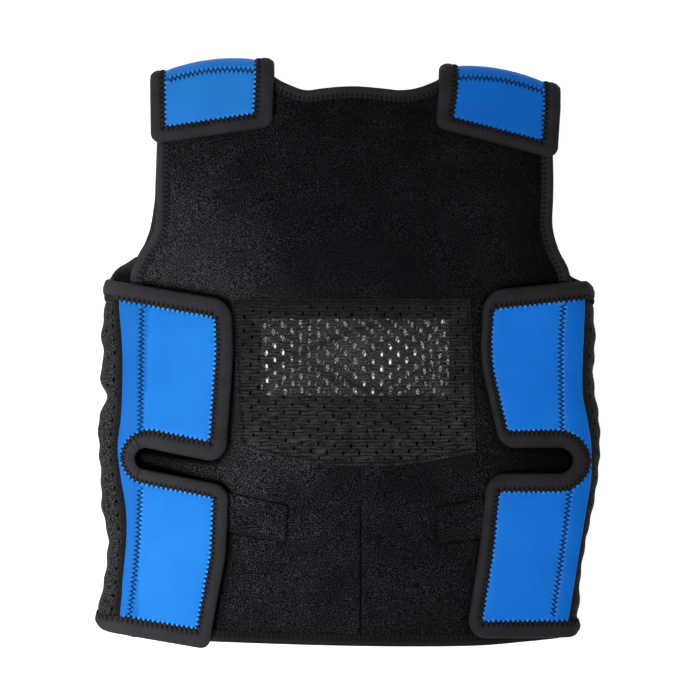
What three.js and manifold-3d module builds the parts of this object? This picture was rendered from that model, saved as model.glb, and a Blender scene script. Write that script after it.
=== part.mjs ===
// A child's weighted vest of neoprene, lying on its back as it is put away after use.
//
// Two body panels are joined over the shoulders by two short tabs and round each side by a strip of
// sports mesh that ends in a pair of tabs. All six tabs close on the loop face of the front panel
// with hook patches. Every raw edge is bound, and the midriff of both panels is a mesh window.
//
// Frame, in millimetres: +X to the right of someone looking down at the vest, +Y from the hem to the
// shoulders, +Z up from the surface that it lies on. While it is built, x = 0 is the vest's midline
// and y = 0 its hem. "out" is a distance from the midline, and side is -1 on the left, 1 on the right.

import * as THREE from "three";
import { mergeVertices } from "three/addons/utils/BufferGeometryUtils.js";
import Module from "manifold-3d";

const wasm = await Module();
wasm.setup();

// Overall sizes
const HALF_WIDTH = 154; // midline to the side edge of a body panel
const LENGTH = 412; // hem to the top of the shoulder folds
const FRONT_HEIGHT = 27; // middle of the front panel above the surface, where it lies highest
const CROWN = 2.5; // how far the front panel's middle stands above its side edges

// Cloth
const PANEL_THICKNESS = 4;
const TAB_THICKNESS = 3.5;
const MESH_THICKNESS = 1;
const BINDING_THICKNESS = 1.2;
const HOOK_THICKNESS = 2.8;
const PATCH_THICKNESS = 1.2;
const CLEARANCE = 0.3; // between pieces that are sewn or pressed together
const EDGE_GAP = 0.8; // between the bare edge of a cloth and the fold of its binding
const SHEET_MARGIN = 2; // a sheet's grid past the outline that it is trimmed to

// Bindings
const PANEL_BINDING_FACE = 8.5;
const TAB_BINDING_FACE = 12.5;

// Side folds and tabs
const SIDE_EDGE_OUT = 5; // side edge of a body panel, out from the crest of its side fold
const TAB_CORNER_RADIUS = 14;
const HOOK_MARGIN = 1.5; // between a hook patch and the bindings round it
const HOOK_INSET = TAB_BINDING_FACE + HOOK_MARGIN;

// Shoulders
const SHOULDER_FOLD_REACH = 12; // how far a shoulder tab bulges past the crest of its fold
const SHOULDER_END_SHORT = 1; // front panel's shoulder end, short of that crest
const SHOULDER_CORNER_RADIUS = 7;

// Windows and pocket patches
const WINDOW_LAP = 6; // mesh sewn over the edge of its window
const MESH_GAP_WIDTH = 7;
const MESH_GAP_HEIGHT = 6.5;
const PATCH_SIZE = 34;

// Levels above the surface. Every edge of the back panel is lifted by its binding.
const EDGE_REST = PANEL_THICKNESS / 2 + CLEARANCE + BINDING_THICKNESS + CLEARANCE;
const CLOSURE = Math.max(HOOK_THICKNESS + 2 * CLEARANCE, 2 * BINDING_THICKNESS + 4 * CLEARANCE);
const STACK = PANEL_THICKNESS / 2 + CLOSURE + TAB_THICKNESS / 2; // middle of the front panel to that of a tab
const BARE_INSET = BINDING_THICKNESS + EDGE_GAP; // a cloth's bare edge inside its binding's nose

// Height of the front panel along the vest, as shares of LENGTH and FRONT_HEIGHT
const LIE = [
  { up: -0.03, height: 0.69 },
  { up: 0.03, height: 0.77 },
  { up: 0.11, height: 0.89 },
  { up: 0.3, height: 1 },
  { up: 0.55, height: 1 },
  { up: 0.78, height: 0.95 },
  { up: 0.9, height: 0.82 },
  { up: 1, height: 0.68 },
];

// Soft folds of the front panel between its tabs. Places and sizes are shares of HALF_WIDTH, and up
// of LENGTH.
const FOLDS = [
  { out: -0.38, up: 0.272, along: 0.16, across: 0.08, height: 0.016, turn: -24 },
  { out: -0.56, up: 0.705, along: 0.17, across: 0.08, height: -0.009, turn: 2 },
  { out: 0.42, up: 0.262, along: 0.12, across: 0.08, height: 0.01, turn: 18 },
  { out: 0.1, up: 0.19, along: 0.35, across: 0.2, height: -0.01, turn: 80 },
];

// Crest of each side fold and how far the fold reaches past it, as shares of HALF_WIDTH. up is a
// share of LENGTH.
const SIDE_FOLDS = [
  { up: 0.02, leftCrest: 0.96, leftReach: 0.2, rightCrest: 0.88, rightReach: 0.135 },
  { up: 0.14, leftCrest: 0.95, leftReach: 0.2, rightCrest: 0.92, rightReach: 0.14 },
  { up: 0.3, leftCrest: 0.96, leftReach: 0.2, rightCrest: 0.96, rightReach: 0.14 },
  { up: 0.46, leftCrest: 0.955, leftReach: 0.2, rightCrest: 0.94, rightReach: 0.14 },
  { up: 0.62, leftCrest: 0.965, leftReach: 0.19, rightCrest: 0.94, rightReach: 0.14 },
];

// Sides from the bottom up: the seam between blue cloth and mesh, and the mesh's outermost point, in
// soft waves, as shares of HALF_WIDTH. up is a share of LENGTH.
const SIDES = [
  { up: 0.03, leftSeam: 1.065, leftMost: 1.165, rightSeam: 0.968, rightMost: 1.01 },
  { up: 0.058, leftSeam: 1.065, leftMost: 1.175, rightSeam: 0.975, rightMost: 1.016 },
  { up: 0.085, leftSeam: 1.057, leftMost: 1.157, rightSeam: 0.985, rightMost: 1.021 },
  { up: 0.119, leftSeam: 1.051, leftMost: 1.135, rightSeam: 0.998, rightMost: 1.025 },
  { up: 0.187, leftSeam: 1.034, leftMost: 1.12, rightSeam: 1.025, rightMost: 1.053 },
  { up: 0.238, leftSeam: 1.036, leftMost: 1.148, rightSeam: 1.045, rightMost: 1.08 },
  { up: 0.289, leftSeam: 1.058, leftMost: 1.152, rightSeam: 1.066, rightMost: 1.1 },
  { up: 0.34, leftSeam: 1.073, leftMost: 1.161, rightSeam: 1.067, rightMost: 1.112 },
  { up: 0.391, leftSeam: 1.058, leftMost: 1.161, rightSeam: 1.048, rightMost: 1.107 },
  { up: 0.425, leftSeam: 1.053, leftMost: 1.125, rightSeam: 1.029, rightMost: 1.091 },
  { up: 0.459, leftSeam: 1.051, leftMost: 1.157, rightSeam: 1.026, rightMost: 1.08 },
  { up: 0.493, leftSeam: 1.051, leftMost: 1.139, rightSeam: 1.028, rightMost: 1.084 },
  { up: 0.527, leftSeam: 1.055, leftMost: 1.152, rightSeam: 1.032, rightMost: 1.093 },
  { up: 0.578, leftSeam: 1.066, leftMost: 1.143, rightSeam: 1.037, rightMost: 1.089 },
  { up: 0.617, leftSeam: 1.066, leftMost: 1.13, rightSeam: 1.039, rightMost: 1.081 },
];

// Ends of the side mesh, from its seam with the blue cloth, over the fold, to the back panel
const MESH_ENDS = {
  hem: { left: [0.028, 0.045, 0.02], right: [0.0175, 0.034, 0.02] },
  armhole: { left: [0.6165, 0.624, 0.658], right: [0.619, 0.61, 0.64] },
};

// Outline of a pair of side tabs from above, from the hem round the slot to the armhole. Out is a
// share of HALF_WIDTH, Up of LENGTH and round of TAB_CORNER_RADIUS. face is how much of its binding's
// face an edge has room for, and fold tells which end of an edge lies on the side fold.
const TAB_OUTLINE = [
  // Lower tab, hem corner
  { leftOut: 0.654, leftUp: 0.0005, rightOut: 0.507, rightUp: 0.0175, round: 0.7 },
  // Lower tab, tip
  { leftOut: 0.577, leftUp: 0.16, rightOut: 0.57, rightUp: 0.17, round: 4 },
  // Lower tab, slot corner
  { leftOut: 0.566, leftUp: 0.278, rightOut: 0.603, rightUp: 0.296, round: 0.85, fold: "to" },
  // Slot end, lower
  { leftOut: 0.982, leftUp: 0.291, rightOut: 0.965, rightUp: 0.295, round: 0.7, face: 0.76 },
  // Slot end, upper
  { leftOut: 0.982, leftUp: 0.342, rightOut: 0.965, rightUp: 0.338, round: 0.7, fold: "from" },
  // Upper tab, slot corner
  { leftOut: 0.583, leftUp: 0.3125, rightOut: 0.665, rightUp: 0.337, round: 0.85 },
  // Upper tab, tip
  { leftOut: 0.546, leftUp: 0.5, rightOut: 0.572, rightUp: 0.49, round: 4 },
  // Upper tab, armhole corner
  { leftOut: 0.556, leftUp: 0.589, rightOut: 0.594, rightUp: 0.606, round: 1.1, fold: "to" },
];

// Shoulder tabs from above. inner and outer edges are shares of HALF_WIDTH at the fold and at the
// tip, fold and tip lines are shares of LENGTH, and bow is the fold line's rise between its ends.
const SHOULDERS = {
  left: {
    inner: { fold: 0.366, tip: 0.372 },
    outer: { fold: 0.93, tip: 0.924 },
    foldLine: { inner: 0.99, outer: 0.966, bow: 0.018 },
    tipLine: { inner: 0.883, outer: 0.853 },
  },
  right: {
    inner: { fold: 0.389, tip: 0.363 },
    outer: { fold: 0.94, tip: 0.916 },
    foldLine: { inner: 0.982, outer: 0.944, bow: 0.017 },
    tipLine: { inner: 0.882, outer: 0.828 },
  },
};

// Armhole edges above the side edge, as shares of LENGTH and HALF_WIDTH
const FRONT_ARMHOLE = [
  { up: 0.65, left: 0.981, right: 0.948 },
  { up: 0.673, left: 0.961, right: 0.921 },
  { up: 0.697, left: 0.934, right: 0.895 },
  { up: 0.725, left: 0.912, right: 0.887 },
  { up: 0.76, left: 0.902, right: 0.893 },
  { up: 0.8, left: 0.9, right: 0.896 },
  { up: 0.87, left: 0.899, right: 0.896 },
];
const BACK_ARMHOLE = [
  { up: 0.664, left: 0.99, right: 0.943 },
  { up: 0.68, left: 0.963, right: 0.921 },
  { up: 0.697, left: 0.941, right: 0.903 },
  { up: 0.725, left: 0.922, right: 0.894 },
  { up: 0.76, left: 0.905, right: 0.893 },
  { up: 0.8, left: 0.898, right: 0.892 },
  { up: 0.87, left: 0.892, right: 0.89 },
];

// Neckline from the midline out to each side, and hem, as shares of HALF_WIDTH and LENGTH
const NECK = [
  { out: 0, left: 0.953, right: 0.953 },
  { out: 0.08, left: 0.9515, right: 0.951 },
  { out: 0.15, left: 0.949, right: 0.9485 },
  { out: 0.22, left: 0.947, right: 0.9465 },
  { out: 0.29, left: 0.951, right: 0.948 },
  { out: 0.35, left: 0.956, right: 0.951 },
];
const NECK_END_OUT = 0.385;
const HEM = [
  { out: -0.97, up: 0.018 },
  { out: -0.63, up: 0.0102 },
  { out: 0, up: 0.003 },
  { out: 0.51, up: 0.003 },
  { out: 0.77, up: 0.0102 },
  { out: 0.94, up: 0.016 },
];
const BACK_NECK_DROP = 6;
const BACK_HEM_RISE = 5;

// Mesh windows: edges as shares of HALF_WIDTH and LENGTH. sag is how far the bottom edge bows down.
const FRONT_WINDOW = {
  left: -0.535,
  right: 0.545,
  bottom: 0.336,
  top: 0.592,
  sag: 0.03,
  gapRows: 8,
  gapColumns: 6,
};
const BACK_WINDOW = {
  left: -0.43,
  right: 0.43,
  bottom: 0.428,
  top: 0.559,
  sag: 0,
  gapRows: 3,
  gapColumns: 5,
};

// Pocket patches: middle as shares of HALF_WIDTH and LENGTH, and turn in degrees
const PATCHES = {
  left: { out: 0.415, up: 0.221, turn: -7 },
  right: { out: 0.485, up: 0.206, turn: 4 },
};

const SIDE_NAMES = { "-1": "left", 1: "right" };

// Reading the tables

// Smooth value of a column at a share of the length, held level past the first and last rows
function readTable(rows, column, up) {
  const last = rows.length - 1;
  if (up <= rows[0].up) return rows[0][column];
  if (up >= rows[last].up) return rows[last][column];
  const i = rows.findIndex((row) => row.up > up) - 1;
  const slope = (a, b) => (rows[b][column] - rows[a][column]) / (rows[b].up - rows[a].up);
  const width = rows[i + 1].up - rows[i].up;
  const startSlope = i > 0 ? slope(i - 1, i + 1) : slope(i, i + 1);
  const endSlope = i + 1 < last ? slope(i, i + 2) : slope(i, i + 1);
  const t = (up - rows[i].up) / width;
  return (
    rows[i][column] * (1 + 2 * t) * (1 - t) ** 2 +
    rows[i + 1][column] * t * t * (3 - 2 * t) +
    width * (startSlope * t * (1 - t) ** 2 - endSlope * t * t * (1 - t))
  );
}

const sideValue = (rows, column, side, y) =>
  HALF_WIDTH * readTable(rows, SIDE_NAMES[side] + column, y / LENGTH);
const seamOut = (side, y) => sideValue(SIDES, "Seam", side, y);
const crestOut = (side, y) => sideValue(SIDE_FOLDS, "Crest", side, y);
const foldReach = (side, y) => sideValue(SIDE_FOLDS, "Reach", side, y);
const panelEdgeOut = (side, y) => crestOut(side, y) + SIDE_EDGE_OUT;

// Outermost line of a shoulder fold, level past the tab's own edges
function shoulderFoldY(side, out) {
  const { inner, outer, foldLine } = SHOULDERS[SIDE_NAMES[side]];
  const u = THREE.MathUtils.clamp((out / HALF_WIDTH - inner.fold) / (outer.fold - inner.fold), 0, 1);
  return LENGTH * (THREE.MathUtils.lerp(foldLine.inner, foldLine.outer, u) + foldLine.bow * 4 * u * (1 - u));
}
const shoulderCrestY = (side, out) => shoulderFoldY(side, out) - SHOULDER_FOLD_REACH;

// Heights of the sheets

// The front panel as it would lie smooth, with no fold at its edges
const lieHeight = (x, y) =>
  FRONT_HEIGHT * readTable(LIE, "height", y / LENGTH) + CROWN * (1 - (x / HALF_WIDTH) ** 2);

function softFolds(x, y) {
  let z = 0;
  for (const fold of FOLDS) {
    const turn = THREE.MathUtils.degToRad(fold.turn);
    const dx = x / HALF_WIDTH - fold.out;
    const dy = (y - LENGTH * fold.up) / HALF_WIDTH;
    const a = (dx * Math.cos(turn) + dy * Math.sin(turn)) / fold.along;
    const b = (dy * Math.cos(turn) - dx * Math.sin(turn)) / fold.across;
    z += HALF_WIDTH * fold.height * Math.exp(-(a * a) - b * b);
  }
  return z;
}

// Half the height between a tab on top of its fold and the same fold near the surface
const sideFoldHalf = (side, y) => (lieHeight(side * crestOut(side, y), y) + STACK - EDGE_REST) / 2;
const shoulderFoldHalf = (side, out) =>
  (lieHeight(side * out, shoulderCrestY(side, out)) + STACK - EDGE_REST) / 2;

// How far a fold has come down, a distance past its crest. A fold is never followed right to its
// outermost point, where it stands upright.
const NEARLY_UPRIGHT = 0.999;
function foldDrop(past, reach, half) {
  if (past <= 0) return 0;
  return half * (1 - Math.sqrt(1 - Math.min(past / reach, NEARLY_UPRIGHT) ** 2));
}

function smoothMiddle(x, y) {
  const side = x < 0 ? -1 : 1;
  const past = Math.abs(x) - crestOut(side, y);
  const level = lieHeight(side * Math.min(Math.abs(x), crestOut(side, y)), y);
  return level - foldDrop(past, foldReach(side, y), sideFoldHalf(side, y));
}
const frontMiddle = (x, y) => smoothMiddle(x, y) + softFolds(x, y);
const tabMiddle = (x, y) => smoothMiddle(x, y) + STACK;

// The back panel rests flat, and curls up at its edges to make room for its binding
const BACK_FLAT = { out: 0.6, low: 0.1, high: 0.84 };
const BACK_LIFTED = { out: 0.8, low: 0.045, high: 0.9 };
function backMiddle(x, y) {
  const out = THREE.MathUtils.smoothstep(Math.abs(x) / HALF_WIDTH, BACK_FLAT.out, BACK_LIFTED.out);
  const low = 1 - THREE.MathUtils.smoothstep(y / LENGTH, BACK_LIFTED.low, BACK_FLAT.low);
  const high = THREE.MathUtils.smoothstep(y / LENGTH, BACK_FLAT.high, BACK_LIFTED.high);
  const flat = PANEL_THICKNESS / 2;
  return flat + (EDGE_REST - flat) * Math.max(out, low, high);
}

// A point of a sheet and the sheet's upward normal there
function onSheet(middle, x, y) {
  const step = 0.5;
  const slopeX = (middle(x + step, y) - middle(x - step, y)) / (2 * step);
  const slopeY = (middle(x, y + step) - middle(x, y - step)) / (2 * step);
  return {
    point: new THREE.Vector3(x, y, middle(x, y)),
    normal: new THREE.Vector3(-slopeX, -slopeY, 1).normalize(),
  };
}

// A point of the side mesh, from its seam with the blue cloth, at share 0, to the back panel, at 1,
// and its outward normal. The mesh follows the side fold, and waves in and out on its way.
function onSideMesh(side, share, y) {
  const gap = CLEARANCE + MESH_THICKNESS / 2;
  const reach = foldReach(side, y);
  const half = sideFoldHalf(side, y);
  const start = Math.acos(Math.min((seamOut(side, y) + gap - crestOut(side, y)) / reach, NEARLY_UPRIGHT));
  const end = -Math.acos((SIDE_EDGE_OUT + gap) / reach);
  const angle = THREE.MathUtils.lerp(start, end, share);
  const wave = sideValue(SIDES, "Most", side, y) - crestOut(side, y) - reach;
  return {
    point: new THREE.Vector3(
      side * (crestOut(side, y) + reach * Math.cos(angle) + wave * Math.sin(Math.PI * share)),
      y,
      EDGE_REST + half * (1 + Math.sin(angle)),
    ),
    normal: new THREE.Vector3(side * Math.cos(angle) * half, 0, Math.sin(angle) * reach).normalize(),
  };
}

// The same for a shoulder fold
function onShoulderFold(side, out, angle) {
  const half = shoulderFoldHalf(side, out);
  return {
    point: new THREE.Vector3(
      side * out,
      shoulderCrestY(side, out) + SHOULDER_FOLD_REACH * Math.cos(angle),
      EDGE_REST + half * (1 + Math.sin(angle)),
    ),
    normal: new THREE.Vector3(0, Math.cos(angle) * half, Math.sin(angle) * SHOULDER_FOLD_REACH).normalize(),
  };
}

// Solids

function indexed(vertices, triangles) {
  const geometry = new THREE.BufferGeometry();
  const places = vertices.flatMap((v) => v.toArray());
  geometry.setAttribute("position", new THREE.Float32BufferAttribute(places, 3));
  geometry.setIndex(triangles.flat());
  return geometry;
}

function toSolid(geometry) {
  const bare = new THREE.BufferGeometry().setAttribute("position", geometry.getAttribute("position"));
  if (geometry.index) bare.setIndex(geometry.index);
  const merged = mergeVertices(bare, 1e-4);
  return new wasm.Manifold(
    new wasm.Mesh({
      numProp: 3,
      vertProperties: merged.attributes.position.array,
      triVerts: Uint32Array.from(merged.index.array),
    }),
  );
}

function toGeometry(solid) {
  const mesh = solid.getMesh();
  const geometry = new THREE.BufferGeometry();
  geometry.setAttribute("position", new THREE.Float32BufferAttribute(mesh.vertProperties, 3));
  geometry.setIndex(new THREE.Uint32BufferAttribute(mesh.triVerts, 1));
  return geometry;
}

// A sheet of cloth of even thickness about a grid of points with normals. Both sides of the vest
// use it, so it turns its faces out whichever way the grid runs.
function gridSheet(grid, thickness) {
  const rows = grid.length;
  const columns = grid[0].length;
  const vertices = [];
  for (const face of [0.5, -0.5])
    for (const row of grid)
      for (const { point, normal } of row)
        vertices.push(point.clone().addScaledVector(normal, face * thickness));
  const at = (face, i, j) => face * rows * columns + i * columns + j;
  const triangles = [];
  const quad = (a, b, c, d) => triangles.push([a, b, c], [a, c, d]);
  for (let i = 0; i + 1 < rows; i++)
    for (let j = 0; j + 1 < columns; j++) {
      quad(at(0, i, j), at(0, i, j + 1), at(0, i + 1, j + 1), at(0, i + 1, j));
      quad(at(1, i, j), at(1, i + 1, j), at(1, i + 1, j + 1), at(1, i, j + 1));
    }
  for (let j = 0; j + 1 < columns; j++) {
    quad(at(0, 0, j), at(1, 0, j), at(1, 0, j + 1), at(0, 0, j + 1));
    quad(at(0, rows - 1, j + 1), at(1, rows - 1, j + 1), at(1, rows - 1, j), at(0, rows - 1, j));
  }
  for (let i = 0; i + 1 < rows; i++) {
    quad(at(0, i + 1, 0), at(1, i + 1, 0), at(1, i, 0), at(0, i, 0));
    const last = columns - 1;
    quad(at(0, i, last), at(1, i, last), at(1, i + 1, last), at(0, i + 1, last));
  }
  const along = grid[0][1].point.clone().sub(grid[0][0].point);
  const up = grid[1][0].point.clone().sub(grid[0][0].point);
  const facesOut = along.cross(up).dot(grid[0][0].normal) > 0;
  return indexed(vertices, facesOut ? triangles : triangles.map(([a, b, c]) => [a, c, b]));
}

// A folded binding along an edge. A station gives a point and a normal of the cloth at a share of the
// binding's face, from 0 at the fold of the binding to 1 where its face ends. grip is the thickness
// that it holds, and bends are the shares where its face bends with the cloth.
function binding(stations, face, grip, bends = []) {
  const hold = grip / 2 + CLEARANCE;
  const skin = hold + BINDING_THICKNESS;
  const inside = [1, ...bends, BINDING_THICKNESS / face];
  const outside = [1, ...bends, 0];
  const at = (height) => (share) => [share, height];
  const section = [
    ...inside.map(at(-hold)),
    ...inside.toReversed().map(at(hold)),
    ...outside.map(at(skin)),
    ...outside.toReversed().map(at(-skin)),
  ];
  const vertices = stations.flatMap((station) =>
    section.map(([share, height]) => {
      const { point, normal } = station(share);
      return point.addScaledVector(normal, height);
    }),
  );
  const n = section.length;
  const triangles = [];
  for (let i = 0; i + 1 < stations.length; i++)
    for (let k = 0; k < n; k++) {
      const [a, b] = [i * n + k, i * n + ((k + 1) % n)];
      triangles.push([a, a + n, b + n], [a, b + n, b]);
    }
  const flatSection = section.map(([share, height]) => new THREE.Vector2(share * face, height));
  const cap = THREE.ShapeUtils.triangulateShape(flatSection, []);
  const lastRow = (stations.length - 1) * n;
  for (const [a, b, c] of cap) {
    triangles.push([a, b, c]);
    triangles.push([lastRow + a, lastRow + c, lastRow + b]);
  }
  const geometry = indexed(vertices, triangles);
  return toSolid(geometry).volume() > 0
    ? geometry
    : indexed(vertices, triangles.map(([a, b, c]) => [a, c, b]));
}

// Stations between matching points of an outline and of its inner copy, on a sheet
function sheetStations(middle, outerPath, innerPath) {
  return outerPath.map(([x, y], i) => (share) => {
    const [innerX, innerY] = innerPath[i];
    return onSheet(middle, THREE.MathUtils.lerp(x, innerX, share), THREE.MathUtils.lerp(y, innerY, share));
  });
}

// A sheet of cloth that covers an outline, lifted off the middle of the cloth below it
function clothOver(outline, middle, lift, thickness, steps) {
  const spread = (values, share) =>
    THREE.MathUtils.lerp(Math.min(...values) - SHEET_MARGIN, Math.max(...values) + SHEET_MARGIN, share);
  const xs = outline.map(([x]) => x);
  const ys = outline.map(([, y]) => y);
  const grid = Array.from({ length: steps + 1 }, (_, i) =>
    Array.from({ length: steps + 1 }, (_, j) => {
      const sheet = onSheet(middle, spread(xs, j / steps), spread(ys, i / steps));
      sheet.point.z += lift;
      return sheet;
    }),
  );
  return gridSheet(grid, thickness);
}

// An upright prism over an outline, through everything
function prism(outline) {
  const depth = 6 * FRONT_HEIGHT;
  const shape = new THREE.Shape(outline.map(([x, y]) => new THREE.Vector2(x, y)));
  return new THREE.ExtrudeGeometry(shape, { depth, bevelEnabled: false }).translate(0, 0, -depth / 2);
}

const trim = (sheet, outline) => toGeometry(toSolid(sheet).intersect(toSolid(prism(outline))));
function pierce(sheet, outlines) {
  const cutter = wasm.Manifold.union(outlines.map((outline) => toSolid(prism(outline))));
  return toGeometry(toSolid(sheet).subtract(cutter));
}

// Outlines from above, as lists of [x, y] with the cloth on their left

function smooth(points, steps) {
  const curve = new THREE.SplineCurve(points.map(([x, y]) => new THREE.Vector2(x, y)));
  return curve.getPoints(steps).map((p) => [p.x, p.y]);
}

// An open outline moved towards its cloth, with its ends squared off
function inset(path, distance) {
  return path.map(([x, y], i) => {
    const [ax, ay] = path[Math.max(i - 1, 0)];
    const [bx, by] = path[Math.min(i + 1, path.length - 1)];
    const before = new THREE.Vector2(x - ax, y - ay).normalize();
    const after = new THREE.Vector2(bx - x, by - y).normalize();
    if (i === 0) before.copy(after);
    if (i === path.length - 1) after.copy(before);
    const mid = before.clone().add(after).normalize();
    const stretch = distance / Math.max(mid.dot(after), 0.5);
    return [x - mid.y * stretch, y + mid.x * stretch];
  });
}

// An open outline through corners, each rounded, and moved towards its cloth by a distance. Paths
// of the same corners at other distances have matching points. Edges across a side fold have
// their points closer together on the fold.
const ARC_STEP = 0.55; // greatest turn between points on a rounded corner, in radians
const ALONG_EDGE = [0, 0.5];
const FROM_FOLD = [0, 0.08, 0.17, 0.3, 0.6];
const TO_FOLD = FROM_FOLD.map((share) => 1 - share).reverse();
function roundedPath(corners, distance, arcStep = ARC_STEP) {
  const line = (i) => {
    const [a, b] = [corners[i], corners[i + 1]];
    const along = new THREE.Vector2(b.x - a.x, b.y - a.y).normalize();
    const off = distance * (a.face ?? 1);
    return { start: new THREE.Vector2(a.x - along.y * off, a.y + along.x * off), along };
  };
  const lines = corners.slice(1).map((_, i) => line(i));
  const path = [];
  const addEdge = (from, to, i) => {
    const shares = { from: FROM_FOLD, to: TO_FOLD }[corners[i].fold] ?? ALONG_EDGE;
    for (const share of shares) if (share < 1) path.push(from.clone().lerp(to, share));
  };
  let from = lines[0].start.clone();
  for (let i = 1; i + 1 < corners.length; i++) {
    const [before, after] = [lines[i - 1], lines[i]];
    const cross = before.along.cross(after.along);
    const apart = after.start.clone().sub(before.start);
    const meet = before.start.clone().addScaledVector(before.along, apart.cross(after.along) / cross);
    const radius = Math.max(corners[i].round - Math.sign(cross) * distance, 1.5);
    const turn = Math.abs(Math.atan2(cross, before.along.dot(after.along)));
    const reach = radius * Math.tan(turn / 2);
    const begin = meet.clone().addScaledVector(before.along, -reach);
    const middle = new THREE.Vector2(-before.along.y, before.along.x)
      .multiplyScalar(Math.sign(cross) * radius)
      .add(begin);
    addEdge(from, begin, i - 1);
    const arcSteps = Math.ceil(turn / arcStep);
    for (let k = 0; k < arcSteps; k++)
      path.push(begin.clone().rotateAround(middle, (Math.sign(cross) * turn * k) / arcSteps));
    from = meet.clone().addScaledVector(after.along, reach);
  }
  const lastLine = lines[lines.length - 1];
  const end = corners[corners.length - 1];
  const finish = new THREE.Vector2(end.x - lastLine.along.y * distance, end.y + lastLine.along.x * distance);
  addEdge(from, finish, corners.length - 2);
  path.push(finish);
  return path.map((p) => [p.x, p.y]);
}

const mirrored = (path, side) => (side < 0 ? path : path.map(([x, y]) => [-x, y]).reverse());

// Edge of a body panel on one side, from the hem up to the armhole, with its points on the rows of
// the panel's sheet. ARMHOLE_ROOM is the share of LENGTH kept free for the curve into the armhole.
const ARMHOLE_ROOM = 0.02;
function sideEdge(side, armhole, rows, lowest) {
  const lowestRow = (lowest + PANEL_BINDING_FACE) / LENGTH;
  const ups = rows.filter((up) => up > lowestRow && up < armhole[0].up - ARMHOLE_ROOM);
  return [lowest, ...ups.map((up) => LENGTH * up)].map((y) => [side * panelEdgeOut(side, y), y]);
}

// Armhole edge, up from a point of the side edge to the shoulder
function armholeEdge(side, armhole, start, shoulderEnd) {
  const points = armhole.map((row) => [side * HALF_WIDTH * row[SIDE_NAMES[side]], LENGTH * row.up]);
  const [x] = points[points.length - 1];
  return smooth([start, ...points, [x, shoulderEnd(side, Math.abs(x))]], 11);
}

const frontShoulderEnd = (side, out) => shoulderCrestY(side, out) - SHOULDER_END_SHORT;
const backShoulderEnd = (side, out) => shoulderCrestY(side, out) - CLEARANCE;

// Neckline from the right shoulder end to the left one
function neckEdge(drop, shoulderEnd) {
  const half = (side) => {
    const points = NECK.map((row) => [side * HALF_WIDTH * row.out, LENGTH * row[SIDE_NAMES[side]] - drop]);
    const out = HALF_WIDTH * NECK_END_OUT;
    const end = shoulderEnd(side, out) - CLEARANCE;
    return [...points, [side * out, end - PANEL_BINDING_FACE / 2], [side * out, end]];
  };
  return smooth([...half(1).reverse(), ...half(-1).slice(1)], 16);
}

function hemEdge(rise) {
  const middle = HEM.slice(1, -1).map((row) => [HALF_WIDTH * row.out, LENGTH * row.up + rise]);
  const end = (side, row) => {
    const y = LENGTH * row.up + rise;
    return [side * panelEdgeOut(side, y), y];
  };
  return smooth([end(-1, HEM[0]), ...middle, end(1, HEM[HEM.length - 1])], 10);
}

// Columns of a body panel's sheet as shares of its width, and rows as shares of LENGTH. They are
// closer together near its folds.
const HALF_COLUMNS = [0.26, 0.5, 0.68, 0.86, 0.96, 1, 1.06];
const PANEL_COLUMNS = [...HALF_COLUMNS.map((share) => -share).reverse(), 0, ...HALF_COLUMNS];
const FRONT_ROWS = [
  -0.03, 0.03, 0.07, 0.12, 0.19, 0.24, 0.27, 0.3, 0.34, 0.44, 0.54, 0.62, 0.68, 0.71, 0.74, 0.8, 0.9, 1.01,
];
const BACK_ROWS = [-0.03, 0.045, 0.072, 0.1, 0.23, 0.36, 0.49, 0.6, 0.72, 0.84, 0.87, 0.9, 1.01];

// All edges of one panel. Each runs with the cloth on its left.
function panelEdges(armhole, rows, rise, drop, shoulderEnd) {
  const hem = hemEdge(rise);
  const edges = { hem, neck: neckEdge(drop, shoulderEnd) };
  for (const side of [-1, 1]) {
    const lowest = hem[side < 0 ? 0 : hem.length - 1][1];
    const lower = sideEdge(side, armhole, rows, lowest);
    const upper = armholeEdge(side, armhole, lower[lower.length - 1], shoulderEnd);
    const whole = [...lower, ...upper.slice(1)];
    edges[SIDE_NAMES[side]] = side < 0 ? whole.reverse() : whole;
  }
  return edges;
}
const FRONT_EDGES = panelEdges(FRONT_ARMHOLE, FRONT_ROWS, 0, 0, frontShoulderEnd);
const BACK_EDGES = panelEdges(BACK_ARMHOLE, BACK_ROWS, BACK_HEM_RISE, BACK_NECK_DROP, backShoulderEnd);

// Bare outline of a panel, inside its bindings. Its shoulder ends have no binding and follow the
// shoulder folds, and nor has a side below sewnBelow, where the side mesh is sewn on.
function panelOutline(edges, shoulderEnd, sewnBelow) {
  const shoulder = (side, from, to) =>
    [0, 0.25, 0.5, 0.75, 1].map((share) => {
      const x = THREE.MathUtils.lerp(from[0], to[0], share);
      return [x, shoulderEnd(side, Math.abs(x)) + BARE_INSET];
    });
  const sewn = ([x, y]) => [y < sewnBelow ? x + Math.sign(x) * BARE_INSET : x, y];
  const { hem, right, neck, left } = edges;
  const loop = [
    ...hem.slice(1, -1),
    ...right.slice(0, -1).map(sewn),
    ...shoulder(1, right[right.length - 1], neck[0]),
    ...neck.slice(1, -1),
    ...shoulder(-1, neck[neck.length - 1], left[0]),
    ...left.slice(1).map(sewn),
  ];
  const closed = [loop[loop.length - 1], ...loop, loop[0]];
  return inset(closed, BARE_INSET).slice(1, -1);
}

// Body panels

// A panel's sheet before it is trimmed
function panelSheet(middle, rows, thickness, lift) {
  const grid = rows.map((up) => {
    const y = LENGTH * up;
    return PANEL_COLUMNS.map((share) => {
      const side = share < 0 ? -1 : 1;
      const edge = panelEdgeOut(side, y);
      const sheet = onSheet(middle, share * edge, y);
      sheet.point.z += lift;
      return sheet;
    });
  });
  return gridSheet(grid, thickness);
}

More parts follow.
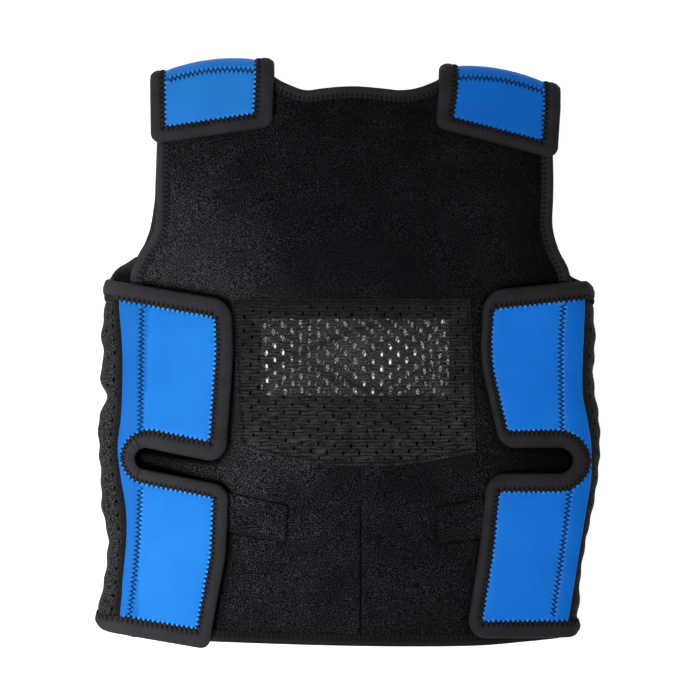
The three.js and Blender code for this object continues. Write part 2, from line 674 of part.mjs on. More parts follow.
// Window cut in a panel, or the mesh over it, grown by a margin
function windowOutline(window, grow) {
  const steps = 6;
  const [left, right] = [HALF_WIDTH * window.left - grow, HALF_WIDTH * window.right + grow];
  const [bottom, top] = [LENGTH * window.bottom - grow, LENGTH * window.top + grow];
  const lower = Array.from({ length: steps + 1 }, (_, k) => {
    const t = k / steps;
    return [THREE.MathUtils.lerp(left, right, t), bottom - LENGTH * window.sag * 4 * t * (1 - t)];
  });
  return [...lower, [right, top], [left, top]];
}

function frontPanel() {
  const outline = panelOutline(FRONT_EDGES, frontShoulderEnd, 0);
  const panel = trim(panelSheet(frontMiddle, FRONT_ROWS, PANEL_THICKNESS, 0), outline);
  return pierce(panel, [windowOutline(FRONT_WINDOW, -WINDOW_LAP)]);
}

function backPanel() {
  const sewnBelow = LENGTH * Math.min(...Object.values(MESH_ENDS.armhole).map((shares) => shares[2]));
  const outline = panelOutline(BACK_EDGES, backShoulderEnd, sewnBelow);
  const panel = trim(panelSheet(backMiddle, BACK_ROWS, PANEL_THICKNESS, 0), outline);
  return pierce(panel, [windowOutline(BACK_WINDOW, 0)]);
}

// A diamond of the window mesh
function meshGap(x, y) {
  const [w, h] = [MESH_GAP_WIDTH / 2, MESH_GAP_HEIGHT / 2];
  return [
    [x - w, y],
    [x, y - h],
    [x + w, y],
    [x, y + h],
  ];
}

function windowMesh(middle, window, grow) {
  const lift = PANEL_THICKNESS / 2 + CLEARANCE + MESH_THICKNESS / 2;
  const cloth = clothOver(windowOutline(window, grow), middle, lift, MESH_THICKNESS, 4);
  const sheet = trim(cloth, windowOutline(window, grow));
  const open = windowOutline(window, grow - 2 * WINDOW_LAP);
  const [[left, bottom], [right], [, top]] = [open[0], open[open.length - 2], open[open.length - 1]];
  const gaps = [];
  for (let row = 0; row < window.gapRows; row++)
    for (let column = 0; column < window.gapColumns; column++) {
      const across = (column + (row % 2 ? 0.75 : 0.25)) / window.gapColumns;
      const x = THREE.MathUtils.lerp(left, right, across);
      const sag = LENGTH * window.sag * 4 * across * (1 - across);
      gaps.push(meshGap(x, THREE.MathUtils.lerp(bottom - sag, top, (row + 0.5) / window.gapRows)));
    }
  return pierce(sheet, gaps);
}

// Bindings of the panels' edges

// The stretch of an edge above a height, for a binding that starts past another. A point of the
// edge too close to the start is left out.
function above(path, y) {
  const rising = path[0][1] < path[path.length - 1][1];
  const up = rising ? path : path.toReversed();
  const i = up.findIndex((p) => p[1] > y);
  const [a, b] = [up[i - 1], up[i]];
  const start = [THREE.MathUtils.mapLinear(y, a[1], b[1], a[0], b[0]), y];
  const kept = [start, ...up.slice(b[1] - y < BARE_INSET ? i + 1 : i)];
  return rising ? kept : kept.reverse();
}

const panelBinding = (middle, path) =>
  binding(sheetStations(middle, path, inset(path, PANEL_BINDING_FACE)), PANEL_BINDING_FACE, PANEL_THICKNESS);
const hemTop = (edges) => Math.max(...edges.hem.map((p) => p[1])) + PANEL_BINDING_FACE + 2 * CLEARANCE;
const meshTop = (side) => LENGTH * MESH_ENDS.armhole[SIDE_NAMES[side]][2] - CLEARANCE;

// Side tabs

function tabCorners(side) {
  const name = SIDE_NAMES[side];
  const [hemUp] = MESH_ENDS.hem[name];
  const [armholeUp] = MESH_ENDS.armhole[name];
  const root = (up) => ({ x: -seamOut(side, LENGTH * up), y: LENGTH * up, round: 0, fold: "from" });
  const corners = TAB_OUTLINE.map((row) => ({
    x: -HALF_WIDTH * row[name + "Out"],
    y: LENGTH * row[name + "Up"],
    round: TAB_CORNER_RADIUS * row.round,
    fold: row.fold,
    face: row.face,
  }));
  return [root(hemUp), ...corners, root(armholeUp)];
}
const tabPath = (side, distance) => roundedPath(tabCorners(side), distance);

function sideTab(side) {
  const name = SIDE_NAMES[side];
  const [hemUp] = MESH_ENDS.hem[name];
  const [armholeUp] = MESH_ENDS.armhole[name];
  const tips = TAB_OUTLINE.map((row) => HALF_WIDTH * row[name + "Out"]);
  const rowCount = 14;
  const grid = Array.from({ length: rowCount + 1 }, (_, i) => {
    const y = THREE.MathUtils.lerp(-4 * SHEET_MARGIN, LENGTH * armholeUp + 4 * SHEET_MARGIN, i / rowCount);
    const crest = crestOut(side, y);
    const past = [0.25, 0.45, 0.6, 0.75, 0.88, 0.96].map((share) => crest + foldReach(side, y) * share);
    const innermost = Math.min(...tips) - SHEET_MARGIN;
    const flat = [0, 0.5, 1].map((share) => THREE.MathUtils.lerp(innermost, crest, share));
    return [...flat, ...past].map((out) => onSheet(tabMiddle, side * out, y));
  });
  const seamSteps = 12;
  const seam = Array.from({ length: seamSteps + 1 }, (_, i) => {
    const y = THREE.MathUtils.lerp(armholeUp, hemUp, i / seamSteps) * LENGTH;
    return [-seamOut(side, y), y];
  });
  const outline = [...tabPath(side, BARE_INSET), ...seam.slice(1, -1)];
  return trim(gridSheet(grid, TAB_THICKNESS), mirrored(outline, side));
}

// Height along the vest of the mesh's hem or armhole end, as a smooth curve through three shares
function meshEnd(side, end, share) {
  const [seam, fold, back] = MESH_ENDS[end][SIDE_NAMES[side]];
  const fromSeam = seam * (1 - share) * (1 - 2 * share);
  const fromFold = 4 * fold * share * (1 - share);
  const fromBack = back * share * (2 * share - 1);
  return LENGTH * (fromSeam + fromFold + fromBack);
}

const MESH_STEPS = 5;
function sideMesh(side) {
  const rowCount = 18;
  const bare = BARE_INSET + MESH_THICKNESS;
  const grid = Array.from({ length: rowCount + 1 }, (_, i) =>
    Array.from({ length: MESH_STEPS + 1 }, (_, k) => {
      const share = k / MESH_STEPS;
      const low = meshEnd(side, "hem", share) + bare;
      const high = meshEnd(side, "armhole", share) - bare;
      return onSideMesh(side, share, THREE.MathUtils.lerp(low, high, i / rowCount));
    }),
  );
  return gridSheet(grid, MESH_THICKNESS);
}

// The binding of a pair of side tabs goes on round both ends of the side mesh to the back panel
function sideTabBinding(side) {
  const meshStations = (end, inward) =>
    Array.from({ length: MESH_STEPS }, (_, k) => {
      const around = (k + 1) / MESH_STEPS;
      const y = meshEnd(side, end, around);
      return (share) => onSideMesh(side, around, y + inward * TAB_BINDING_FACE * share);
    });
  const flip = ([x, y]) => [-side * x, y];
  const outerPath = tabPath(side, 0).map(flip);
  const innerPath = tabPath(side, TAB_BINDING_FACE).map(flip);
  const tab = sheetStations(tabMiddle, outerPath, innerPath);
  const stations = [...meshStations("hem", 1).reverse(), ...tab, ...meshStations("armhole", -1)];
  return binding(stations, TAB_BINDING_FACE, TAB_THICKNESS, [0.5]);
}

// Hook cloth fills the space between a tab and the front panel
const hookCloth = (outline) =>
  clothOver(outline, smoothMiddle, (PANEL_THICKNESS + CLOSURE) / 2, HOOK_THICKNESS, 3);

// A side tab's hook patch lies inside the tab's binding and clear of the binding on the panel's
// side edge. It has a plain corner where the tab has a rounded one.
const HOOK_CORNERS = { lower: [0, 5], upper: [5, 10] };
function hookPatch(side, tab) {
  const corners = tabCorners(side).slice(...HOOK_CORNERS[tab]);
  const outline = mirrored(roundedPath(corners, HOOK_INSET, Math.PI), side);
  const ys = outline.map(([, y]) => y);
  const [low, high] = [Math.min(...ys), Math.max(...ys)];
  const edgeSteps = 12;
  const edges = Array.from({ length: edgeSteps + 1 }, (_, k) =>
    panelEdgeOut(side, THREE.MathUtils.lerp(low, high, k / edgeSteps)),
  );
  const limit = Math.min(...edges) - PANEL_BINDING_FACE - HOOK_MARGIN;
  const band = [
    [0, low],
    [side * limit, low],
    [side * limit, high],
    [0, high],
  ];
  return trim(trim(hookCloth(outline), outline), side < 0 ? band.reverse() : band);
}

// Shoulder tabs

// Edge of a shoulder tab at a place along it, by the straight line through its fold and tip ends
function shoulderEdgeOut(side, edge, y) {
  const tab = SHOULDERS[SIDE_NAMES[side]];
  const { foldLine, tipLine } = tab;
  const share = (y / LENGTH - foldLine[edge]) / (tipLine[edge] - foldLine[edge]);
  return HALF_WIDTH * THREE.MathUtils.lerp(tab[edge].fold, tab[edge].tip, share);
}

const FOLD_STEPS = 6;
const foldAngle = (k) => THREE.MathUtils.lerp(-Math.PI / 2, Math.PI / 2, k / FOLD_STEPS);

function shoulderCorners(side) {
  const { tipLine } = SHOULDERS[SIDE_NAMES[side]];
  const tip = (edge) => {
    const y = LENGTH * tipLine[edge];
    return { x: -shoulderEdgeOut(side, edge, y), y, round: SHOULDER_CORNER_RADIUS };
  };
  const crest = (edge) => {
    const out = HALF_WIDTH * SHOULDERS[SIDE_NAMES[side]][edge].fold;
    const y = shoulderCrestY(side, out);
    return { x: -shoulderEdgeOut(side, edge, y), y, round: 0 };
  };
  return [crest("outer"), tip("outer"), tip("inner"), crest("inner")];
}

// Round the fold a tab keeps its width. Its columns are one face in from each edge, and between.
function shoulderTab(side) {
  const [outerCrest, outerTip, innerTip, innerCrest] = shoulderCorners(side);
  const acrossSteps = 5;
  const places = (inner, outer) => {
    const from = inner + TAB_BINDING_FACE;
    const to = outer - TAB_BINDING_FACE;
    const at = (k) => THREE.MathUtils.lerp(from, to, k / acrossSteps);
    return [inner, ...Array.from({ length: acrossSteps + 1 }, (_, k) => at(k)), outer];
  };
  const folded = Array.from({ length: FOLD_STEPS + 1 }, (_, k) =>
    places(-innerCrest.x, -outerCrest.x).map((out) => onShoulderFold(side, out, foldAngle(k))),
  );
  const flatSteps = 3;
  const flat = Array.from({ length: flatSteps }, (_, k) => {
    const share = (k + 1) / flatSteps;
    const inner = THREE.MathUtils.lerp(-innerCrest.x, -innerTip.x, share);
    const outer = THREE.MathUtils.lerp(-outerCrest.x, -outerTip.x, share);
    return places(inner, outer).map((out) => {
      const tipY = THREE.MathUtils.mapLinear(out, inner, outer, innerTip.y, outerTip.y);
      return onSheet(tabMiddle, side * out, THREE.MathUtils.lerp(shoulderCrestY(side, out), tipY, share));
    });
  });
  const beyond = 3 * SHOULDER_FOLD_REACH;
  const path = roundedPath(shoulderCorners(side), BARE_INSET);
  const [first, last] = [path[0], path[path.length - 1]];
  const outline = [[first[0], first[1] + beyond], ...path, [last[0], last[1] + beyond]];
  return trim(gridSheet([...folded, ...flat], TAB_THICKNESS), mirrored(outline, side));
}

function shoulderBinding(side) {
  const corners = shoulderCorners(side);
  const flip = ([x, y]) => [-side * x, y];
  const outerPath = roundedPath(corners, 0).map(flip);
  const innerPath = roundedPath(corners, TAB_BINDING_FACE).map(flip);
  const flat = sheetStations(tabMiddle, outerPath, innerPath).slice(1, -1);
  const fold = (corner, inward) =>
    Array.from({ length: FOLD_STEPS + 1 }, (_, k) => (share) =>
      onShoulderFold(side, -corner.x + inward * TAB_BINDING_FACE * share, foldAngle(k)),
    );
  const stations = [...fold(corners[0], -1), ...flat, ...fold(corners[corners.length - 1], 1).reverse()];
  return binding(stations, TAB_BINDING_FACE, TAB_THICKNESS);
}

// A shoulder's hook patch also keeps clear of the bindings on the panel's neck and armhole
function shoulderHook(side) {
  const room = PANEL_BINDING_FACE + HOOK_MARGIN;
  const inner = HALF_WIDTH * NECK_END_OUT + room;
  const outer = HALF_WIDTH * FRONT_ARMHOLE[FRONT_ARMHOLE.length - 1][SIDE_NAMES[side]] - room;
  const outline = roundedPath(shoulderCorners(side), HOOK_INSET, Math.PI).map(([x, y]) => [
    -side * THREE.MathUtils.clamp(x, -outer, -inner),
    y,
  ]);
  const ordered = side < 0 ? outline : outline.reverse();
  return trim(hookCloth(ordered), ordered);
}

// Pocket patches, sewn on the front panel's loop face

function pocketPatch(side) {
  const patch = PATCHES[SIDE_NAMES[side]];
  const middle = new THREE.Vector2(side * HALF_WIDTH * patch.out, LENGTH * patch.up);
  const half = PATCH_SIZE / 2;
  const outline = [
    [-half, -half],
    [half, -half],
    [half, half],
    [-half, half],
  ].map(([x, y]) =>
    new THREE.Vector2(x, y).add(middle).rotateAround(middle, THREE.MathUtils.degToRad(patch.turn)).toArray(),
  );
  const lift = PANEL_THICKNESS / 2 + CLEARANCE + PATCH_THICKNESS / 2;
  return trim(panelSheet(frontMiddle, FRONT_ROWS, PATCH_THICKNESS, lift), outline);
}

// Assembly

const cloth = (color, roughness) => new THREE.MeshStandardMaterial({ color, roughness, metalness: 0 });
const loopFace = cloth(0x121215, 0.95);
const blueNeoprene = cloth(0x1a6fe0, 0.6);
const bindingCloth = cloth(0x1d1d20, 0.7);
const sportsMesh = cloth(0x161618, 0.85);
const hookTape = cloth(0x0c0c0e, 0.8);

const vest = new THREE.Group();
function add(name, geometry, material) {
  const mesh = new THREE.Mesh(geometry, material);
  mesh.name = name;
  vest.add(mesh);
}

add("back_panel", backPanel(), loopFace);
add("front_panel", frontPanel(), loopFace);
add("front_window_mesh", windowMesh(frontMiddle, FRONT_WINDOW, 0), sportsMesh);
add("back_window_mesh", windowMesh(backMiddle, BACK_WINDOW, WINDOW_LAP), sportsMesh);
add("neck_binding", panelBinding(frontMiddle, FRONT_EDGES.neck), bindingCloth);
add("hem_binding", panelBinding(frontMiddle, FRONT_EDGES.hem), bindingCloth);
add("back_neck_binding", panelBinding(backMiddle, BACK_EDGES.neck), bindingCloth);
add("back_hem_binding", panelBinding(backMiddle, BACK_EDGES.hem), bindingCloth);
for (const side of [-1, 1]) {
  const name = SIDE_NAMES[side];
  const frontArmhole = above(FRONT_EDGES[name], hemTop(FRONT_EDGES));
  const backArmhole = above(BACK_EDGES[name], meshTop(side));
  add("armhole_binding_" + name, panelBinding(frontMiddle, frontArmhole), bindingCloth);
  add("back_armhole_binding_" + name, panelBinding(backMiddle, backArmhole), bindingCloth);
  add("side_mesh_" + name, sideMesh(side), sportsMesh);
  add("side_tab_" + name, sideTab(side), blueNeoprene);
  add("side_tab_binding_" + name, sideTabBinding(side), bindingCloth);
  add("upper_hook_patch_" + name, hookPatch(side, "upper"), hookTape);
  add("lower_hook_patch_" + name, hookPatch(side, "lower"), hookTape);
  add("shoulder_tab_" + name, shoulderTab(side), blueNeoprene);
  add("shoulder_binding_" + name, shoulderBinding(side), bindingCloth);
  add("shoulder_hook_patch_" + name, shoulderHook(side), hookTape);
  add("pocket_patch_" + name, pocketPatch(side), loopFace);
}

// The origin is the middle of the footprint, on the surface that the vest lies on
const extent = new THREE.Box3().setFromObject(vest);
const footprint = extent.getCenter(new THREE.Vector3());
vest.position.set(-footprint.x, -footprint.y, -extent.min.z);

export default vest;
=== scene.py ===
# %% [markdown]
# A weighted vest, laid out flat
#
# This lesson dresses the CAD model of a child's weighted vest. The real one is sewn from neoprene,
# a foam cloth a few millimetres thick, with bound edges, mesh at the sides and six tabs that close
# it. It lies on its back, seen from straight above. The CAD model fixes where each piece lies, and
# stays hidden under the cloth that is made here. All maths is in numpy, so that a whole piece is
# placed at once.

# %% The fixed frame
import math

import bpy
import numpy as np
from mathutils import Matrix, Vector
from mathutils.geometry import delaunay_2d_cdt


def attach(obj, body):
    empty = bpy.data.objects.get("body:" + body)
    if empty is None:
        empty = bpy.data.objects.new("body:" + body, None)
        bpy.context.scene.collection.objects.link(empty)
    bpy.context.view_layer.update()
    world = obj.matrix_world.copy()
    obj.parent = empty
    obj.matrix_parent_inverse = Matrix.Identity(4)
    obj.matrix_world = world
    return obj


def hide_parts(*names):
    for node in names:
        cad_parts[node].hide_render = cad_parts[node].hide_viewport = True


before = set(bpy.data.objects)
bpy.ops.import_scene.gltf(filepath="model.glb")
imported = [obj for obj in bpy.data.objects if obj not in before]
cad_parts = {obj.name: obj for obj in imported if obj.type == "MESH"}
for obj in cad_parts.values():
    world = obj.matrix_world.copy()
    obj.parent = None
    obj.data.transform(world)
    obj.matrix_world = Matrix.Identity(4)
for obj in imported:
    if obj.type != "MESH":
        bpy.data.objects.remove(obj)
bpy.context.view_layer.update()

# %% [markdown]
# Camera
#
# The photograph was taken from high above with a long lens, so the vest shows no side. A lens is
# worked out from the width of the view and the height of the camera. That keeps the scale right
# at the level of the front panel, which carries most of what is seen.

# %% Camera
VIEW_WIDTH = 0.4886
VIEW_CENTRE = (0.0027, 0.0013)
VIEW_LEVEL = 0.026
CAMERA_HEIGHT = 2.4

camera_data = bpy.data.cameras.new("camera")
camera_data.lens = camera_data.sensor_width * (CAMERA_HEIGHT - VIEW_LEVEL) / VIEW_WIDTH
camera = bpy.data.objects.new("camera", camera_data)
camera.location = (*VIEW_CENTRE, CAMERA_HEIGHT)
bpy.context.scene.collection.objects.link(camera)
bpy.context.scene.camera = camera
print("lens in millimetres:", round(camera_data.lens))

# %% [markdown]
# Shader maths as Python
#
# Blender's shaders are graphs of nodes, and a sum or product is a node of its own. A small class
# that stands for one output makes them readable: an expression on it adds the nodes. One method
# makes every other kind of node from its type, its settings and what goes into its sockets.


# %% A class for sockets and one for materials
class Value:
    """One output of a node. Arithmetic on it adds Math nodes."""

    def __init__(self, finish, output):
        self.finish = finish
        self.output = output

    def maths(self, operation, *values):
        sockets = dict(enumerate(values or [self]))
        return self.finish.node("ShaderNodeMath", {"operation": operation}, sockets)

    def __add__(self, other):
        return self.maths("ADD", self, other)

    def __sub__(self, other):
        return self.maths("SUBTRACT", self, other)

    def __rsub__(self, other):
        return self.maths("SUBTRACT", other, self)

    def __mul__(self, other):
        return self.maths("MULTIPLY", self, other)

    __radd__ = __add__
    __rmul__ = __mul__


def set_stops(ramp, stops):
    """Greys of a colour ramp, as pairs of place and brightness."""
    while len(ramp.elements) < len(stops):
        ramp.elements.new(1.0)
    for element, (place, grey) in zip(ramp.elements, stops):
        element.position = place
        element.color = (grey, grey, grey, 1.0)


class Finish:
    """A material that is being put together."""

    def __init__(self, name):
        self.material = bpy.data.materials.new(name)
        self.material.use_nodes = True
        self.tree = self.material.node_tree
        self.tree.nodes.clear()

    def node(self, kind, settings, values, output=0):
        made = self.tree.nodes.new(kind)
        for name, value in settings.items():
            if name == "stops":
                set_stops(made.color_ramp, value)
            else:
                setattr(made, name, value)
        for socket, value in values.items():
            if isinstance(value, Value):
                self.tree.links.new(value.output, made.inputs[socket])
            else:
                made.inputs[socket].default_value = value
        return Value(self, made.outputs[output] if len(made.outputs) else None)

    def place(self):
        return self.node("ShaderNodeTexCoord", {}, {}, "Object")

    def cut(self):
        return self.node("ShaderNodeAttribute", {"attribute_name": "cut"}, {}, "Vector")

    def part_of(self, vector, axis):
        return self.node("ShaderNodeSeparateXYZ", {}, {0: vector}, axis)

    def scaled(self, vector, factors):
        return self.node("ShaderNodeVectorMath", {"operation": "MULTIPLY"}, {0: vector, 1: factors})

    def noise(self, vector, scale, detail=2.0):
        return self.node("ShaderNodeTexNoise", {}, {"Vector": vector, "Scale": scale, "Detail": detail})

    def ramp(self, value, stops):
        return self.node("ShaderNodeValToRGB", {"stops": stops}, {0: value})

    def mix(self, factor, first, second):
        return self.node("ShaderNodeMix", {"data_type": "RGBA"}, {0: factor, 6: first, 7: second}, 2)

    def bump(self, height, depth, strength=1.0):
        return self.node("ShaderNodeBump", {}, {"Height": height, "Distance": depth, "Strength": strength})

    def done(self, values):
        shader = self.node("ShaderNodeBsdfPrincipled", {}, values)
        self.node("ShaderNodeOutputMaterial", {}, {"Surface": shader})
        print("finish:", self.material.name, "nodes:", len(self.tree.nodes))
        return self.material


def colour(red, green, blue):
    return (red, green, blue, 1.0)


# %% [markdown]
# Floor and light
#
# The vest lies on a white table that glows a little, as a light table for product photographs
# does. That makes the table read as pure white and lets it shine up through the mesh window. Two
# soft lamps hang to the left, because in the photograph the left tabs are brighter than the right
# ones and the folds fall into shade. A narrow one aims at the lower left of the vest, and a large
# one fills in from the side of the shoulders.

# %% Floor, lamps and surroundings
FLOOR_SIZE = 8.0
FLOOR_DROP = 0.0003
FLOOR_GLOW = 0.94
WORLD_LIGHT = 0.2
LAMPS = [
    {
        "name": "key_lamp",
        "at": (-0.42, -0.38, 1.0),
        "aim": (-0.16, -0.1, 0.0),
        "size": 0.4,
        "spread": 64,
        "watts": 1.35,
    },
    {
        "name": "fill_lamp",
        "at": (-0.45, 0.5, 1.3),
        "aim": (0.0, 0.0, 0.0),
        "size": 1.0,
        "spread": 150,
        "watts": 2.2,
    },
]

white_table = Finish("white_table")
table_paint = white_table.done(
    {
        "Base Color": colour(0.6, 0.6, 0.6),
        "Roughness": 0.8,
        "Specular IOR Level": 0.1,
        "Emission Color": colour(1.0, 1.0, 1.0),
        "Emission Strength": FLOOR_GLOW,
    }
)
bpy.ops.mesh.primitive_plane_add(size=FLOOR_SIZE, location=(0, 0, -FLOOR_DROP))
floor = bpy.context.object
floor.name = "floor"
floor.data.materials.append(table_paint)

for lamp in LAMPS:
    data = bpy.data.lights.new(lamp["name"], "AREA")
    data.shape = "DISK"
    data.size = lamp["size"]
    data.energy = lamp["watts"]
    data.spread = math.radians(lamp["spread"])
    light = bpy.data.objects.new(lamp["name"], data)
    light.location = lamp["at"]
    towards_lamp = Vector(lamp["at"]) - Vector(lamp["aim"])
    light.rotation_euler = towards_lamp.to_track_quat("Z", "Y").to_euler()
    bpy.context.scene.collection.objects.link(light)

world = bpy.data.worlds.new("studio")
world.use_nodes = True
world.node_tree.nodes["Background"].inputs["Color"].default_value = colour(0.98, 0.99, 1.0)
world.node_tree.nodes["Background"].inputs["Strength"].default_value = WORLD_LIGHT
bpy.context.scene.world = world
bpy.context.scene.view_settings.view_transform = "Standard"
print("lamps:", [lamp["name"] for lamp in LAMPS])

# %% [markdown]
# Sizes of the vest
#
# These are the CAD model's own sizes, in millimetres. x = 0 is the vest's midline and y = 0 its
# hem, and the last step of each piece moves it into the frame, in metres. A curve through a few
# values stands for each thing that changes along the vest, such as how high the front panel lies.
# The crest is where a side starts to roll over and the reach is how far it rolls. The table has a
# row for each height. Its seam is where blue cloth meets the mesh, and most is as far out as the
# slack mesh goes.

# %% Sizes and curves
LEFT = -1
RIGHT = 1
SIDE_NAMES = {LEFT: "left", RIGHT: "right"}
MIDLINE_AND_HEM = np.array([6.24, -206.98, 0.0])

HALF_WIDTH = 154
LENGTH = 412
FRONT_HEIGHT = 27
CROWN = 2.5
PANEL_THICKNESS = 4
TAB_THICKNESS = 3.5
MESH_THICKNESS = 1
TAPE_THICKNESS = 1.2
HOOK_THICKNESS = 2.8
PATCH_THICKNESS = 1.2
CLEARANCE = 0.3
EDGE_GAP = 0.8
PANEL_TAPE = 8.5
TAB_TAPE = 12.5
BARE_INSET = TAPE_THICKNESS + EDGE_GAP
EDGE_REST = PANEL_THICKNESS / 2 + TAPE_THICKNESS + 2 * CLEARANCE
CLOSURE = 2 * TAPE_THICKNESS + 4 * CLEARANCE
STACK = PANEL_THICKNESS / 2 + CLOSURE + TAB_THICKNESS / 2


class Curve:
    """A smooth curve through values at given places, level past both ends."""

    def __init__(self, places, values, size=1.0):
        self.places = np.array(places, float)
        self.values = np.array(values, float) * size
        rises = np.diff(self.values) / np.diff(self.places)
        between = (self.values[2:] - self.values[:-2]) / (self.places[2:] - self.places[:-2])
        self.slopes = np.concatenate([rises[:1], between, rises[-1:]])

    def __call__(self, place):
        place = np.clip(place, self.places[0], self.places[-1])
        i = np.searchsorted(self.places, place, side="right") - 1
        i = np.clip(i, 0, len(self.places) - 2)
        width = self.places[i + 1] - self.places[i]
        t = (place - self.places[i]) / width
        ends = self.values[i] * (1 + 2 * t) * (1 - t) ** 2 + self.values[i + 1] * t * t * (3 - 2 * t)
        return ends + width * (self.slopes[i] * t * (1 - t) ** 2 - self.slopes[i + 1] * t * t * (1 - t))


LIE = Curve([-0.03, 0.03, 0.11, 0.3, 0.55, 0.78, 0.9, 1], [0.69, 0.77, 0.89, 1, 1, 0.95, 0.82, 0.68])

FOLD_UPS = [0.02, 0.14, 0.3, 0.46, 0.62]
CREST = {
    LEFT: Curve(FOLD_UPS, [0.96, 0.95, 0.96, 0.955, 0.965], HALF_WIDTH),
    RIGHT: Curve(FOLD_UPS, [0.88, 0.92, 0.96, 0.94, 0.94], HALF_WIDTH),
}
REACH = {
    LEFT: Curve(FOLD_UPS, [0.2, 0.2, 0.2, 0.2, 0.19], HALF_WIDTH),
    RIGHT: Curve(FOLD_UPS, [0.135, 0.14, 0.14, 0.14, 0.14], HALF_WIDTH),
}
SIDE_OUTS = [
    {"up": 0.03, "seam": {LEFT: 1.065, RIGHT: 0.962}, "most": {LEFT: 1.15, RIGHT: 0.998}},
    {"up": 0.058, "seam": {LEFT: 1.065, RIGHT: 0.97}, "most": {LEFT: 1.168, RIGHT: 1.009}},
    {"up": 0.085, "seam": {LEFT: 1.057, RIGHT: 0.981}, "most": {LEFT: 1.155, RIGHT: 1.017}},
    {"up": 0.119, "seam": {LEFT: 1.051, RIGHT: 0.995}, "most": {LEFT: 1.135, RIGHT: 1.016}},
    {"up": 0.187, "seam": {LEFT: 1.034, RIGHT: 1.023}, "most": {LEFT: 1.12, RIGHT: 1.045}},
    {"up": 0.238, "seam": {LEFT: 1.036, RIGHT: 1.045}, "most": {LEFT: 1.148, RIGHT: 1.076}},
    {"up": 0.289, "seam": {LEFT: 1.058, RIGHT: 1.066}, "most": {LEFT: 1.152, RIGHT: 1.1}},
    {"up": 0.34, "seam": {LEFT: 1.073, RIGHT: 1.067}, "most": {LEFT: 1.161, RIGHT: 1.112}},
    {"up": 0.391, "seam": {LEFT: 1.058, RIGHT: 1.048}, "most": {LEFT: 1.161, RIGHT: 1.107}},
    {"up": 0.425, "seam": {LEFT: 1.053, RIGHT: 1.029}, "most": {LEFT: 1.125, RIGHT: 1.091}},
    {"up": 0.459, "seam": {LEFT: 1.051, RIGHT: 1.026}, "most": {LEFT: 1.157, RIGHT: 1.08}},
    {"up": 0.493, "seam": {LEFT: 1.051, RIGHT: 1.028}, "most": {LEFT: 1.139, RIGHT: 1.084}},
    {"up": 0.527, "seam": {LEFT: 1.055, RIGHT: 1.032}, "most": {LEFT: 1.15, RIGHT: 1.09}},
    {"up": 0.578, "seam": {LEFT: 1.066, RIGHT: 1.037}, "most": {LEFT: 1.133, RIGHT: 1.078}},
    {"up": 0.617, "seam": {LEFT: 1.066, RIGHT: 1.039}, "most": {LEFT: 1.118, RIGHT: 1.062}},
]


def side_curve(column, side):
    """A column of the table as a curve up one side."""
    ups = [row["up"] for row in SIDE_OUTS]
    return Curve(ups, [row[column][side] for row in SIDE_OUTS], HALF_WIDTH)


SEAM = {side: side_curve("seam", side) for side in (LEFT, RIGHT)}
MOST = {side: side_curve("most", side) for side in (LEFT, RIGHT)}
SIDE_EDGE_OUT = 5
print("front panel lies", FRONT_HEIGHT, "mm up, and a tab", round(STACK, 2), "mm above it")

# %% [markdown]
# Where the cloth lies
#
# Neoprene bends but hardly stretches, so each panel lies as one smooth sheet that rolls over at
# the sides and shoulders. A function of x and y gives its height, and everything that is sewn on
# it, from tape to thread, asks the same function. Nothing floats or sinks then, whatever the fold.

# %% Heights of the panels
SOFT_FOLDS = [
    {"out": -0.38, "up": 0.272, "along": 0.16, "across": 0.08, "height": 0.016, "turn": -24},
    {"out": -0.56, "up": 0.705, "along": 0.17, "across": 0.08, "height": -0.009, "turn": 2},
    {"out": 0.42, "up": 0.262, "along": 0.12, "across": 0.08, "height": 0.01, "turn": 18},
    {"out": 0.1, "up": 0.19, "along": 0.35, "across": 0.2, "height": -0.01, "turn": 80},
    {"out": -0.93, "up": 0.317, "along": 0.14, "across": 0.06, "height": -0.024, "turn": -3},
    {"out": 0.93, "up": 0.319, "along": 0.14, "across": 0.06, "height": -0.02, "turn": 2},
]
NEARLY_UPRIGHT = 0.999
SHOULDER_DROP = 8.0
DROP_OUT = (0.3, 0.95)
DROP_UP = (0.75, 0.93)


def eased(value, start, end):
    t = np.clip((value - start) / (end - start), 0, 1)
    return t * t * (3 - 2 * t)


def lie_height(x, y):
    """How high the front panel lies. Its right shoulder slopes away more than its left."""
    drop = SHOULDER_DROP * eased(x / HALF_WIDTH, *DROP_OUT) * eased(y / LENGTH, *DROP_UP)
    return FRONT_HEIGHT * LIE(y / LENGTH) + CROWN * (1 - (x / HALF_WIDTH) ** 2) - drop


def soft_folds(x, y):
    height = np.zeros_like(x)
    for fold in SOFT_FOLDS:
        turn = math.radians(fold["turn"])
        dx = x / HALF_WIDTH - fold["out"]
        dy = (y - LENGTH * fold["up"]) / HALF_WIDTH
        along = (dx * math.cos(turn) + dy * math.sin(turn)) / fold["along"]
        across = (dy * math.cos(turn) - dx * math.sin(turn)) / fold["across"]
        height += HALF_WIDTH * fold["height"] * np.exp(-(along**2) - across**2)
    return height


def side_fold_half(side, y):
    return (lie_height(side * CREST[side](y / LENGTH), y) + STACK - EDGE_REST) / 2


def smooth_middle(x, y):
    """The front panel as it lies with no soft folds, rolled over at its sides."""
    height = np.zeros_like(x)
    for side in (LEFT, RIGHT):
        crest = CREST[side](y / LENGTH)
        past = np.clip((np.abs(x) - crest) / REACH[side](y / LENGTH), 0, NEARLY_UPRIGHT)
        level = lie_height(side * np.minimum(np.abs(x), crest), y)
        dropped = level - side_fold_half(side, y) * (1 - np.sqrt(1 - past**2))
        height = np.where((x < 0) == (side == LEFT), dropped, height)
    return height


